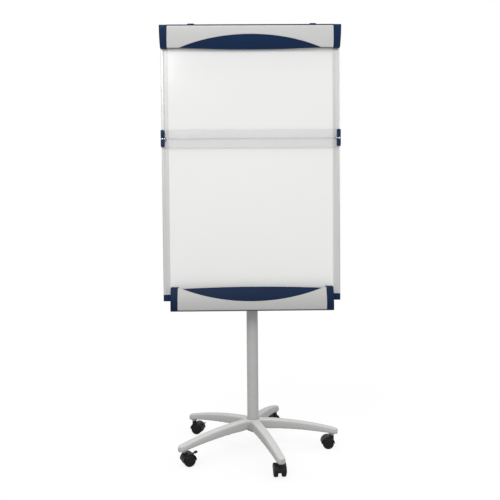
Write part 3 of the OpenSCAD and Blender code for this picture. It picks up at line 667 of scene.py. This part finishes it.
def bow_plate(axis, outer_depth, inner_depth, stations, low, high):
    """A bowed plate between low(x) and high(x), its faces set in from the bow by the depths."""
    steps = 12
    rings = []
    for x in stations:
        bottom, top = low(x), high(x)
        if top - bottom < 0.5:
            middle = (bottom + top) / 2
            bottom, top = middle - 0.25, middle + 0.25
        ring = []
        for depth, order in ((outer_depth, range(steps + 1)), (inner_depth, range(steps, -1, -1))):
            for i in order:
                z = bottom + (top - bottom) * i / steps
                ring.append((x, bow_y(axis, BOW_RADIUS - depth, z), z))
        rings.append(ring)
    return loft(rings)


def cap_outline(axis, low, top, low_radius, top_radius, rear):
    """(y, z) outline of an end cap with a bowed front. rear: (y, z, corner radius) from the top."""
    steps = 26
    # A longer step at each end leaves room for the corner's rounding.
    heights = [low + (top - low) * i / steps for i in [0, *range(3, steps - 2), steps]]
    front = [(bow_y(axis, CAP_BOW_RADIUS, z), z) for z in heights]
    corners = [(board_front, low)] + front + [(y, z) for y, z, _ in rear]
    radii = [1.0, low_radius] + [0] * (len(front) - 2) + [top_radius]
    return round_corners(corners, radii + [radius for _, _, radius in rear])


def end_cap(outline, side, inner, outer):
    """An end cap from inner to outer |x|, rounder on its outer face."""
    inner_round, outer_round = 0.5, 2.2
    if side > 0:
        return prism(outline, "x", inner, outer, inner_round, outer_round, 4)
    return prism(outline, "x", -outer, -inner, outer_round, inner_round, 4)


# ------------------------------------------------------------------ header

HEADER_BEAD_RADIUS = 7
BAR_END = cap_inner - 1                  # half length of the clamp bar
HEADER_SLANT = 5.0                       # how far the bar's ends lean outwards at the underside
# The insert is lens-shaped: two shallow arcs that meet in tips.
lens_half, lens_tip = cap_inner - 49, header_low + 1.5
lens_top, lens_low = header_low + 50, header_low - 5


def slanted(part, share):
    """Leans a header piece outwards towards the underside, by share(|x|, y) of the slant."""
    vertices, faces = part
    leaning = []
    for x, y, z in vertices:
        drop = min(max((header_top - z) / (header_top - header_low), 0), 1)
        leaning.append((x + math.copysign(share(abs(x), y) * HEADER_SLANT * drop, x), y, z))
    return leaning, faces


def header_cut(x):
    return arch(x, lens_half, lens_tip, lens_top)


def build_clamp_bar():
    bar = bow_front(HEADER_AXIS, x_stations(BAR_END, 8, lens_half), header_cut,
                    (hinge_y, hinge_z, HEADER_BEAD_RADIUS), side=1)
    bar = slanted(bar, lambda x, y: max(x - lens_half, 0) / (BAR_END - lens_half))
    skin("clamp_bar", [bar], "anodised_head", "clamp", smooth=28, bevel=0.45)


def build_clamp_insert():
    face = bow_plate(HEADER_AXIS, 1.2, 5.2, x_stations(lens_half - 2, 7, lens_half),
                     low=lambda x: arch(x, lens_half, lens_tip, lens_low),
                     high=lambda x: header_cut(x) - 1.9)
    backing = bow_plate(HEADER_AXIS, 3.3, 5.1, x_stations(lens_half + 10, 9, lens_half),
                        low=lambda x: lens_tip + 0.4,
                        high=lambda x: max(arch(x, lens_half + 14, lens_tip + 3, lens_top + 5),
                                           lens_tip + 3.4))
    skin("clamp_insert", [face, backing], "navy_plastic", "clamp", smooth=30, bevel=0.5)


def build_header_caps():
    rear = [(board_back, header_top, 2.0), (board_back, rail_top, 0.5),
            (board_front, rail_top, 0.0)]
    outline = cap_outline(HEADER_AXIS, header_low, header_top, 2.5, 5.0, rear)
    for name, side in SIDES:
        # Only the inner face in front of the board leans, to follow the bar's end.
        cap = slanted(end_cap(outline, side, cap_inner, half_width),
                      lambda x, y: float(x < cap_inner + 1 and y < board_front + 0.01))
        skin(f"header_cap_{name}", [cap], "navy_plastic", "board", smooth=30)


def build_header():
    build_clamp_bar()
    build_clamp_insert()
    build_header_caps()
    dress("header_top_strip", "navy_plastic", bevel=0.6)
    dress("header_rail", "anodised", bevel=0.5)
    dress("hinge_pins", "zinc", bevel=0.3)
    dress("clamp_springs", "spring_steel")
    dress("clamp_grip", "rubber_grip", bevel=0.3)


# ------------------------------------------------------------------ pad hooks

HOOK_HALF_WIDTH = 15
TRACK_Z = header_low + 37                # height of the track the tongue runs in
PLATE_FRONT = board_front - 5
# Peg: (radius, y from the plate's front), about Y.
PEG_PROFILE = [(0.01, 5), (4, 5), (4, -20), (3.6, -22.8), (2.6, -24), (0.01, -24)]


def build_hook(side):
    low, high = box_mm(f"hook_{side}")
    middle = (low[0] + high[0]) / 2
    top = high[2]
    knob_low = header_top + 0.6

    def block(half, y_front, y_back):
        return rect(middle - half, y_front, middle + half, y_back)

    knob_outline = block(HOOK_HALF_WIDTH, board_front - 37, board_front + 3)
    knob = prism(round_corners(knob_outline, 6, 7), "z", knob_low, top - 0.7, 0.8, 3.0, 6)
    neck = prism(block(6, PLATE_FRONT, board_front - 0.8), "z", strip_low - 2, knob_low + 1)
    plate_outline = block(HOOK_HALF_WIDTH, TRACK_Z - 12, strip_low - 1)
    plate = prism(round_corners(plate_outline, 3), "y", PLATE_FRONT, board_front - 0.6, 0.6)
    tongue = prism(block(13, TRACK_Z + 0.4, TRACK_Z + 13.6), "y",
                   board_front - 1, board_front + 4.6)
    peg = revolve(PEG_PROFILE, "y", (middle, PLATE_FRONT, TRACK_Z + 7), 40)
    ridges = []
    for i in range(5):
        y = board_front - 30 + 6 * i
        ridges.append(prism(round_corners(block(9.5, y, y + 2.2), 1.0, 4), "z",
                            top - 1.6, top, 0.2, 0.6))
    skin(f"hook_{side}", [knob, neck, plate, tongue, peg] + ridges, "navy_plastic",
         f"hook_{side[0]}", smooth=30)


# ------------------------------------------------------------------ frame and panel

def rail_outline():
    """(x, y) section of the right-hand rail, open towards the panel."""
    inner, outer, front, back = rail_inner, half_width, board_front, board_back
    groove = half_width - 14             # x of the groove in the front face
    points = [(inner, front + 1.9), (groove - 1.6, front + 0.95), (groove - 0.9, front + 1.7),
              (groove - 0.1, front + 1.7), (groove + 0.2, front + 0.8)]
    for i in range(7):                   # hollow front face outside the groove
        share = i / 6
        points.append((groove + 1.2 + (outer - 4.2 - groove) * share,
                       front + 0.55 * (2 * share - 1) ** 2))
    for i in range(1, 7):                # front outer corner, radius 3
        angle = math.pi / 2 * i / 6
        points.append((outer - 3 + 3 * math.sin(angle), front + 0.55 + 3 * (1 - math.cos(angle))))
    points += [(outer, front + 8.6), (outer - 0.7, front + 9.0), (outer - 0.7, front + 10.0),
               (outer, front + 10.4)]    # groove in the outer side
    for i in range(6):                   # back outer corner, radius 2.4
        angle = math.pi / 2 * i / 5
        points.append((outer - 2.4 + 2.4 * math.cos(angle), back - 2.4 + 2.4 * math.sin(angle)))
    return points + [(inner + 0.4, back), (inner, back - 0.4), (inner, back - 2.0),
                     (inner + 8, back - 2.0), (inner + 8, front + 3.0), (inner, front + 3.0)]


def build_frame():
    cap_corners = round_corners(rect(rail_inner, board_front - 0.5, half_width, board_back),
                                [2, 3.2, 3.2, 2])
    plug_corners = rect(rail_inner + 16.4, board_front + 4.4, half_width - 3.4, board_back - 3.4)
    for name, side in SIDES:
        rail = prism(mirrored(rail_outline(), side), "z", rail_low, rail_top)
        skin(f"{name}_rail", [rail], "anodised_z", "board", smooth=24)
        cap = prism(mirrored(cap_corners, side), "z", frame_low, rail_low, 2.4, 0.5, 4)
        plug = prism(mirrored(plug_corners, side), "z", rail_low - 1, rail_low + 18)
        skin(f"corner_cap_{name}", [cap, plug], "navy_plastic", "board", smooth=30)
    dress("bottom_rail", "anodised", bevel=0.5)
    dress("writing_sheet", "enamel")
    dress("panel_core", "board_core")
    dress("back_sheet", "back_zinc")


# ------------------------------------------------------------------ pen tray

TRAY_BEAD_RADIUS = 5
tray_bead_z = tray_low + 9
tray_bead_y = bow_y(TRAY_AXIS, BOW_RADIUS - TRAY_BEAD_RADIUS, tray_bead_z)
tray_edge = tray_top - 3                 # top edge of the bowed front outside the insert
tray_lens_half, tray_lens_tip = tray_cap_inner - 18, tray_top - 6
tray_lens_top, tray_lens_low = tray_top + 0.5, tray_low + 41.8


def tray_lens_bottom(x):
    return arch(x, tray_lens_half, tray_lens_tip, tray_lens_low)


def tray_cut(x):
    if abs(x) >= tray_lens_half:
        return tray_edge
    return min(tray_lens_bottom(x), tray_edge)


def build_tray():
    front = bow_front(TRAY_AXIS, x_stations(tray_cap_inner, 8, tray_lens_half), tray_cut,
                      (tray_bead_y, tray_bead_z, TRAY_BEAD_RADIUS), side=-1)
    # The tray's bow takes the darker, painted-shade copy of the anodised finish.
    skin("tray_front", [front], "anodised_tray_painted_shade", "board", smooth=28, bevel=0.45)
    face = bow_plate(TRAY_AXIS, 1.2, 4.2, x_stations(tray_lens_half - 2, 7, tray_lens_half),
                     low=lambda x: tray_cut(x) + 1.7,
                     high=lambda x: arch(x, tray_lens_half, tray_lens_tip, tray_lens_top))
    backing = bow_plate(TRAY_AXIS, 3.3, 5.1, x_stations(tray_lens_half - 40, 9),
                        low=lambda x: tray_lens_bottom(x) - 5,
                        high=lambda x: tray_lens_tip - 22)
    # The tray's insert and end caps take the darker, painted-shade copy of the navy plastic.
    skin("tray_insert", [face, backing], "navy_tray_painted_shade", "board", smooth=30, bevel=0.5)
    dress("tray_liner", "liner_grey", bevel=0.5)
    outline = cap_outline(TRAY_AXIS, tray_low, tray_top, 5.0, 3.0, [(board_front, tray_top, 1.0)])
    for name, side in SIDES:
        cap = end_cap(outline, side, tray_cap_inner, tray_half_width)
        skin(f"tray_cap_{name}", [cap], "navy_tray_painted_shade", "board", smooth=30)


# ------------------------------------------------------------------ sheet keeper

(blade_left, blade_front, blade_low), (blade_right, blade_back, blade_top) = box_mm("ruler_blade")
blade_mid = (blade_low + blade_top) / 2
(clip_inner, clip_front, clip_low), (clip_outer, _, clip_top) = box_mm("ruler_clip_right")
screws_low, screws_high = box_mm("ruler_screws")
screw_z = (screws_low[2] + screws_high[2]) / 2
stud_x = screws_high[0] - 4
blade_screw_x = stud_x - 10              # the screw that holds the blade
if clip_inner < stud_x - 12:             # a clip box that reaches far inside the stud
    clip_inner = half_width - 14
recess_y = screws_low[1] + 3.2           # floor of the recess between the jaws


def build_blade():
    """A flat blade with bevelled long edges and a groove either side of its middle."""
    MATERIALS["clear_acrylic"] = clear_acrylic(blade_mid * 0.001, (blade_top - blade_low) * 0.0005)
    # Front of the upper half: (depth behind the front, height above the middle).
    upper = [(0, 0.5), (0.9, 1.4), (0.9, 2.2), (0, 3.2)]
    outline = [(blade_back, blade_low), (blade_front + 1.6, blade_low), (blade_front, blade_low + 5)]
    outline += [(blade_front + depth, blade_mid - height) for depth, height in reversed(upper)]
    outline += [(blade_front + depth, blade_mid + height) for depth, height in upper]
    outline += [(blade_front, blade_top - 5), (blade_front + 1.6, blade_top),
                (blade_back, blade_top)]
    skin("ruler_blade", [prism(outline, "x", blade_left, blade_right)], "clear_acrylic",
         "sheet_keeper", smooth=12)


def build_clip(name, side):
    """Two jaws, the waist between them, a wall round the rail's side and a screw boss."""
    parts = []
    for low, high, radii in ((screw_z + 5, clip_top, [2.2, 2.2, 5.0, 5.0]),
                             (clip_low, screw_z - 5, [5.0, 5.0, 2.2, 2.2])):
        jaw = round_corners(rect(clip_inner, low, clip_outer, high), radii, 6)
        parts.append(prism(mirrored(jaw, side), "y", clip_front, board_front - 0.3, 1.7, 0.2, 4))
    waist = rect(clip_inner + 0.6, screw_z - 9, clip_outer - 0.4, screw_z + 9)
    parts.append(prism(mirrored(waist, side), "y", recess_y, board_front - 0.3, 0.3, 0.2, 2))
    near, far, hook_end = half_width + 0.3, clip_outer - 0.05, half_width - 9
    wall = [(near, board_front - 6), (far, board_front - 6), (far, board_back + 3),
            (hook_end, board_back + 3), (hook_end, board_back + 0.3), (near, board_back + 0.3)]
    wall = round_corners(wall, [0.4, 0.4, 1.6, 1.0, 0.3, 0.3])
    parts.append(prism(mirrored(wall, side), "z", clip_low + 0.6, clip_top - 0.6, 0.8))
    boss = [(1.9, recess_y + 0.05), (5.0, recess_y + 0.05), (5.5, recess_y + 0.5),
            (5.5, blade_front), (1.9, blade_front)]
    parts.append(revolve(boss, "y", (side * blade_screw_x, 0, screw_z), 48))
    skin(f"ruler_clip_{name}", parts, "navy_plastic", "sheet_keeper", smooth=30)


def dome_screw(x, radius, back_y):
    """A domed head on the recess floor, with a plain shank back to back_y."""
    head_height, dome_height, shank_radius = 3.1, 1.9, 1.75
    profile = [(0.01, -head_height)]
    for i in range(1, 8):
        angle = math.pi / 2 * i / 7
        profile.append((radius * math.sin(angle),
                        -head_height + dome_height * (1 - math.cos(angle))))
    shank = back_y - recess_y
    profile += [(radius, 0.0), (shank_radius, 0.0), (shank_radius, shank), (0.01, shank)]
    return revolve(profile, "y", (x, recess_y, screw_z), 40)


def build_sheet_keeper():
    build_blade()
    for name, side in SIDES:
        build_clip(name, side)
    screws = []
    for side in (-1, 1):
        screws += [dome_screw(side * blade_screw_x, 3.5, screws_high[1]),
                   dome_screw(side * stud_x, 4.0, board_front - 0.2)]
    skin("ruler_screws", screws, "bright_screw", "sheet_keeper", smooth=35)


# ------------------------------------------------------------------ column and what holds the board

# (node, material, bevel, bevel segments)
COLUMN_PIECES = [
    ("outer_column", "column_coat", 0.6, 2), ("inner_column", "inner_tube", 0.4, 2),
    ("collar", "black_plastic", 1.2, 3), ("collar_bush", "bush", 0.3, 2),
    ("foot_bush", "bush", 0.3, 2), ("column_top_cap", "black_plastic", 0.8, 2),
    ("lower_bracket", "black_plastic", 1.2, 3), ("upper_bracket", "black_plastic", 1.2, 3),
    ("bracket_bolts", "zinc", 0.5, 2), ("support_bars", "zinc", 0.5, 2),
    ("frame_screws", "zinc", 0.5, 2), ("base_bolt", "zinc", 0.5, 2),
    ("caster_stems", "zinc", 0.3, 2),
]


def build_height_knob():
    """A five-lobed knob on a stud that points along Y."""
    low, high = box_mm("height_knob")
    knob_z = JOINTS["height_knob_turn"]["pos_m"][2] * 1000
    stud_end, back = low[1], high[1]
    front = back - 16
    centre = (0, 0, knob_z)
    mean_radius, lobe_height, lobes, steps = 20.0, 3.0, 5, 120
    outline = []
    for i in range(steps):
        angle = 2 * math.pi * i / steps
        radius = mean_radius + lobe_height * math.cos(lobes * angle)
        turned = angle + math.pi / 2     # one lobe points straight up
        outline.append((radius * math.cos(turned), knob_z + radius * math.sin(turned)))
    head = prism(outline, "y", front, back, 3.0, 3.5, 5)
    boss = revolve([(0.01, front - 5.5), (8.6, front - 5.5), (9, front - 5), (9, front + 1),
                    (0.01, front + 1)], "y", centre, 48)
    disc = revolve([(0.01, back - 1), (8, back - 1), (8, back - 0.6), (7.2, back), (0.01, back)],
                   "y", centre, 48)
    stud = revolve([(0.01, stud_end), (3.4, stud_end), (4, stud_end + 0.8), (4, front - 4),
                    (0.01, front - 4)], "y", centre, 32)
    skin("height_knob", [head, boss, disc, stud], "black_plastic", "knob")


def build_column():
    for node, material, bevel, segments in COLUMN_PIECES:
        dress(node, material, bevel, segments)
    build_height_knob()


# ------------------------------------------------------------------ star base
# An arm is built along +X, then turned into place.

hub_top = box_mm("star_base")[1][2]
hub_low = hub_top - 56.5
first_swivel = JOINTS["caster_1_swivel"]["pos_m"]
caster_circle = math.hypot(first_swivel[0], first_swivel[1]) * 1000
base_turn = math.atan2(first_swivel[1], first_swivel[0])
arm_end = caster_circle + 27
boss_low = box_mm("caster_stems")[1][2] - 22
column_low, column_high = box_mm("outer_column")
bore_radius = (column_high[0] - column_low[0]) / 2 + 1.2
ARM_START = 27                           # inside the hub
HUB_HALF_WIDTH, TIP_HALF_WIDTH = 23.5, 18.5
tip_centre = arm_end - TIP_HALF_WIDTH    # the arm ends in a half circle about this place
ARM_WALL, ARM_ROOF = 4.6, 5.0            # thickness of the sides and of the top

# Hub: (radius, z), from the bottom up the outside and down the bore.
HUB_PROFILE = [
    (5.6, hub_low), (18.4, hub_low), (21.4, hub_low + 0.7), (35.8, hub_low + 10),
    (38.8, hub_low + 12.6), (40, hub_low + 17), (40, hub_top - 16), (38.9, hub_top - 7),
    (35.6, hub_top - 2.4), (31.5, hub_top - 0.6), (bore_radius, hub_top - 0.6),
    (bore_radius, hub_low + 7), (5.6, hub_low + 7),
]


def arm_top(x):
    return hub_top - 49 * (x / arm_end) ** 2


def arm_low(x):
    return arm_top(x) - 41 + 17 * (x / arm_end) ** 1.5


def arm_ring(x, solid=False):
    """The arm's section at x: a round-shouldered channel open below, or the same filled in."""
    half = HUB_HALF_WIDTH - (HUB_HALF_WIDTH - TIP_HALF_WIDTH) * min(x / tip_centre, 1.0)
    if x > tip_centre:
        half = math.sqrt(max(TIP_HALF_WIDTH ** 2 - (x - arm_end + TIP_HALF_WIDTH) ** 2, 0.3))
    top, low = arm_top(x) - 0.3, arm_low(x)
    foot, shoulder = half - 0.2, max(half - 2.6, 0.4)
    radius = min(7.5, shoulder * 0.8)
    left = [(-foot, low), (-foot + 0.3, low + (top - low) * 0.35),
            (-shoulder - 0.4, top - radius - 1.0)]
    for i in range(6):
        angle = math.pi / 2 * i / 5
        left.append((-shoulder + radius * (1 - math.cos(angle)),
                     top - radius + radius * math.sin(angle) - 0.7 * (1 - math.sin(angle))))
    crown = [(-shoulder + radius + 2 * (shoulder - radius) * k / 4, top) for k in range(1, 4)]
    ring = left + crown + [(-y, z) for y, z in reversed(left)]
    if not solid:
        roof, inner_foot, inner_top = top - ARM_ROOF, foot - ARM_WALL, shoulder - ARM_WALL
        inside = [(inner_foot, low), (inner_top, roof - 2), (inner_top - 2.5, roof)]
        ring += inside + [(-y, z) for y, z in reversed(inside)]
    return [(x, y, z) for y, z in ring]


def arm_parts():
    channel = loft([arm_ring(x) for x in np.linspace(ARM_START, arm_end - 30, 40)])
    tip_stations = [arm_end - back for back in (48, 40, 32, 25)] + [tip_centre]
    tip_stations += [tip_centre + TIP_HALF_WIDTH * math.sin(angle)
                     for angle in np.linspace(0.2, 1.5, 9)]
    tip = loft([arm_ring(x, solid=True) for x in tip_stations])
    boss = revolve([(0.01, boss_low + 0.6), (13.2, boss_low + 0.6), (13.8, boss_low + 1.4),
                    (14, boss_low + 20), (0.01, boss_low + 20)], "z", (caster_circle, 0, 0), 40)
    root = loft([arm_ring(x, solid=True) for x in (ARM_START, 36, 46)])
    ribs = [prism(rect(-17, arm_low(x) + 12, 17, arm_top(x) - 3), "x", x - 1.6, x + 1.6)
            for x in (90, 150, 210, 270)]
    return [channel, tip, boss, root] + ribs


def build_base():
    parts = []
    for i in range(5):
        turn = Matrix.Rotation(base_turn + math.radians(72 * i), 4, "Z")
        parts += [moved(part, turn) for part in arm_parts()]
    parts.append(revolve(HUB_PROFILE, "z", (0, 0, 0), 72))
    skin_mesh("star_base", fused(parts, voxel=2.3, rounds=9, factor=0.6), "base_coat", "base",
              smooth=60)


# ------------------------------------------------------------------ casters
# Local frame: swivel axis at the origin, floor at z = 0, +X the way the wheels trail.

WHEEL_RADIUS = 25.0
TRAIL = 18.0
WEB_RADIUS = WHEEL_RADIUS + 2.5          # runs within the hood's shell
lever_angle = math.radians(48)
lever_x = TRAIL + WEB_RADIUS * math.cos(lever_angle)
lever_z = WHEEL_RADIUS + WEB_RADIUS * math.sin(lever_angle)
wheel_inner, wheel_outer = 8.0, 25.0     # y of one wheel's faces

# Wheel: (radius, y), from the inner face over the tread to the outer face.
WHEEL_PROFILE = [(radius, wheel_inner + y) for radius, y in (
    (3.3, 0.2), (WHEEL_RADIUS - 6.5, 0.2), (WHEEL_RADIUS - 6.0, 0.8), (WHEEL_RADIUS - 2.6, 0.3),
    (WHEEL_RADIUS - 1.0, 1.0), (WHEEL_RADIUS - 0.2, 2.6), (WHEEL_RADIUS, 4.4),
)] + [(radius, wheel_outer - y) for radius, y in (
    (WHEEL_RADIUS, 4.6), (WHEEL_RADIUS - 0.25, 2.8), (WHEEL_RADIUS - 1.2, 1.3),
    (WHEEL_RADIUS - 2.6, 0.6), (WHEEL_RADIUS - 4.0, 0.5), (WHEEL_RADIUS - 4.6, 1.1),
    (WHEEL_RADIUS - 5.4, 1.1), (WHEEL_RADIUS - 6.0, 0.45), (WHEEL_RADIUS - 10.0, 0.1),
    (9.0, 0), (7.4, 0.1), (6.9, 0.9), (6.3, 0.9), (5.8, 0.1), (3.0, 0), (0.02, 0), (0.02, 0.9),
    (3.3, 0.9),
)]


def hood_parts():
    """The curved shell over the wheels, the web between them, the stem boss and its gusset."""
    section = round_corners(rect(WHEEL_RADIUS + 1.7, -24.9, WHEEL_RADIUS + 4.4, 24.9),
                            [0.5, 1.9, 1.9, 0.5], 4)
    rings = []
    for k in range(33):
        angle = math.radians(-2 + 184 * k / 32)
        cos, sin = math.cos(angle), math.sin(angle)
        rings.append([(TRAIL + radius * cos, y, WHEEL_RADIUS + radius * sin)
                      for radius, y in section])
    web = [(TRAIL + WEB_RADIUS * math.cos(math.radians(degrees)),
            WHEEL_RADIUS + WEB_RADIUS * math.sin(math.radians(degrees)))
           for degrees in range(0, 181, 9)]
    web += [(TRAIL + x, WHEEL_RADIUS + z)
            for x, z in ((-WEB_RADIUS, 0), (-9, -5), (-6, -8), (0, -9), (6, -8), (9, -5))]
    boss = [(4.4, 36), (9.6, 36), (9.8, 54.4), (9.2, 56.5), (8.4, 57.2), (4.4, 57.2)]
    gusset = [(-9, 42), (16, 46), (17, 54.0), (11, 54.8), (6, 56.3), (-6, 56.3), (-9, 53)]
    return [loft(rings), prism(web, "y", -6.9, 6.9, 0.8, steps=2),
            revolve(boss, "z", (0, 0, 0), 40), prism(gusset, "y", -5, 5, 1, steps=2)]


def slotted(hood):
    """A copy of the hood with room cut for the brake lever, and the lever's cross pin."""
    obj = linked_object("hood", hood.copy())
    room = round_corners(rect(lever_x - 5.1, lever_z - 5.1, lever_x + 24, lever_z + 16), 1.5, 4)
    cutter_mesh = mesh_of("cutter", [prism(room, "y", -4.3, 4.3)])
    face_outwards(cutter_mesh)
    cutter = linked_object("cutter", cutter_mesh)
    cut = obj.modifiers.new("cut", "BOOLEAN")
    cut.operation = "DIFFERENCE"
    cut.solver = "EXACT"
    cut.object = cutter
    result = baked(obj)
    bpy.data.objects.remove(cutter)
    pin = revolve([(0.02, -6.5), (2, -6.5), (2, 6.5), (0.02, 6.5)], "y", (lever_x, 0, lever_z), 24)
    face_outwards(result, extra=mesh_of("pin", [pin]))
    return result


def wheel_pair():
    wheel = revolve(WHEEL_PROFILE, "y", (TRAIL, 0, WHEEL_RADIUS), 72)
    half_turn = Matrix.Rotation(math.pi, 4, "Z") @ Matrix.Translation((-2 * TRAIL, 0, 0))
    return [wheel, moved(wheel, half_turn)]


def lever_parts():
    """The brake lever: a hub on the cross pin, a neck and a ribbed pad tipped up 20 degrees."""
    tip_up = Matrix.Translation((lever_x, 0, lever_z)) @ Matrix.Rotation(math.radians(-20), 4, "Y")
    hub = revolve([(2.1, -3.9), (3.9, -3.9), (4.15, -3.6), (4.15, 3.6), (3.9, 3.9), (2.1, 3.9)],
                  "y", (lever_x, 0, lever_z), 32)
    neck = prism(rect(2.2, -1.6, 9, 1.6), "y", -3.9, 3.9, 0.4, steps=2)
    pad_corners = [(7.6, -9.8), (19, -9.8), (21.6, -7.0), (21.6, 7.0), (19, 9.8), (7.6, 9.8)]
    pad = prism(round_corners(pad_corners, [2.2, 3, 3, 3, 3, 2.2]), "z", -1.6, 1.7, 0.7, 0.9)
    ribs = [prism(round_corners(rect(x, -7.5, x + 1.3, 7.5), 0.5, 3), "z", 1.2, 2.3, 0.0, 0.4, 2)
            for x in (10.5, 13.3, 16.1, 18.9)]
    return [hub] + [moved(part, tip_up) for part in [neck, pad] + ribs]


def build_casters():
    plain_hood = fused(hood_parts(), voxel=0.8, rounds=4, factor=0.5)
    brake_hood = slotted(plain_hood)
    for k in range(1, 6):
        swivel = JOINTS[f"caster_{k}_swivel"]["pos_m"]
        roll = JOINTS[f"caster_{k}_roll"]["pos_m"]
        heading = math.atan2(roll[1] - swivel[1], roll[0] - swivel[0])
        matrix = (Matrix.Translation((swivel[0], swivel[1], 0))
                  @ Matrix.Rotation(heading, 4, "Z"))
        braked = f"brake_{k}_lever" in JOINTS
        hood = (brake_hood if braked else plain_hood).copy()
        skin_mesh(f"caster_hood_{k}", hood, "black_plastic", f"swivel_{k}", smooth=50,
                  matrix=matrix)
        skin(f"caster_wheels_{k}", wheel_pair(), "wheel_black", f"wheels_{k}", smooth=34,
             matrix=matrix)
        dress(f"caster_axle_{k}", "zinc", bevel=0.3)
        if braked:
            skin(f"brake_lever_{k}", lever_parts(), "black_plastic", f"brake_{k}", smooth=34,
                 matrix=matrix)


# ------------------------------------------------------------------ floor, light, camera

def build_floor():
    """A pale floor that, to the camera only, brightens with distance from the origin."""
    bpy.ops.mesh.primitive_plane_add(size=120, location=(0, 0, 0))
    floor = bpy.context.object
    floor.name = "floor"
    g = Graph(bpy.data.materials.new("floor_pale"))
    matt = g.node("ShaderNodeBsdfDiffuse")
    camera_ray = g.node("ShaderNodeLightPath").outputs["Is Camera Ray"]
    to_light, to_camera = (0.52, 0.52, 0.52, 1), (0.95, 0.95, 0.95, 1)
    g.link(g.mix(camera_ray, to_light, to_camera), matt.inputs["Color"])
    geometry = g.node("ShaderNodeNewGeometry")
    distance = g.node("ShaderNodeVectorMath", operation="LENGTH")
    g.link(geometry.outputs["Position"], distance.inputs[0])
    far = g.remap(distance.outputs["Value"], source=(0.45, 1.6), target=(0.86, 1.0))
    glow = g.node("ShaderNodeEmission", Strength=1.0)
    g.surface(g.mix_shader(g.calc("MULTIPLY", far, camera_ray), matt.outputs[0], glow.outputs[0]))
    floor.data.materials.append(g.owner)


def build_world():
    """White to the camera; grey below to white above for everything else."""
    world = bpy.data.worlds.new("studio")
    scene.world = world
    g = Graph(world, "ShaderNodeOutputWorld")
    backdrop = g.node("ShaderNodeBackground", Color=(1, 1, 1, 1))
    ambient = g.node("ShaderNodeBackground", Strength=0.85)
    light_path = g.node("ShaderNodeLightPath")
    direction = g.node("ShaderNodeTexCoord").outputs["Generated"]
    gradient = g.node("ShaderNodeValToRGB")
    g.link(g.height(direction), gradient.inputs[0])
    stops = gradient.color_ramp.elements
    stops[0].position, stops[0].color = 0.0, (0.42, 0.42, 0.42, 1)
    stops[1].position, stops[1].color = 1.0, (1.0, 1.0, 1.0, 1)
    stops.new(0.35).color = (0.63, 0.63, 0.63, 1)
    g.link(gradient.outputs[0], ambient.inputs["Color"])
    g.surface(g.mix_shader(light_path.outputs["Is Camera Ray"], ambient.outputs[0],
                           backdrop.outputs[0]))


def area_light(name, location, target, size, power):
    light = bpy.data.lights.new(name, "AREA")
    light.energy = power
    light.size = size
    obj = linked_object(name, light)
    obj.location = location
    aim = Vector(target) - Vector(location)
    obj.rotation_euler = aim.to_track_quat("-Z", "Y").to_euler()


def build_lights():
    area_light("key", (-1.5, -3.0, 3.5), target=(0, 0, 1.3), size=2.2, power=62)
    area_light("fill", (2.8, -2.4, 2.4), target=(0, 0, 1.2), size=1.6, power=24)
    area_light("front", (0.0, -4.2, 0.75), target=(0, 0, 1.5), size=2.4, power=6)
    area_light("top", (0.0, 0.2, 4.2), target=(0, 0, 0), size=2.4, power=40)


def build_camera():
    position = (-0.038, -2.6466, 0.9655)
    # Yaw turns the view to the right, pitch turns it down.
    yaw, pitch, roll = (math.radians(degrees) for degrees in (0.67, 1.77, -0.47))
    data = bpy.data.cameras.new("camera")
    data.sensor_width = 36
    data.lens = 43.128
    data.clip_end = 100
    camera = linked_object("camera", data)
    forward = Vector((math.sin(yaw) * math.cos(pitch), math.cos(yaw) * math.cos(pitch),
                      -math.sin(pitch)))
    level = Vector((math.cos(yaw), -math.sin(yaw), 0))
    upright = level.cross(forward)
    right = level * math.cos(roll) + upright * math.sin(roll)
    up = upright * math.cos(roll) - level * math.sin(roll)
    rotation = Matrix((right, up, -forward)).transposed()
    camera.matrix_world = Matrix.Translation(position) @ rotation.to_4x4()
    scene.camera = camera


# ------------------------------------------------------------------ build

build_header()
for hook_side in ("left", "right"):
    build_hook(hook_side)
build_frame()
build_tray()
build_sheet_keeper()
build_column()
build_base()
build_casters()

build_floor()
build_world()
build_lights()
build_camera()
scene.view_settings.view_transform = "Standard"
scene.view_settings.look = "None"
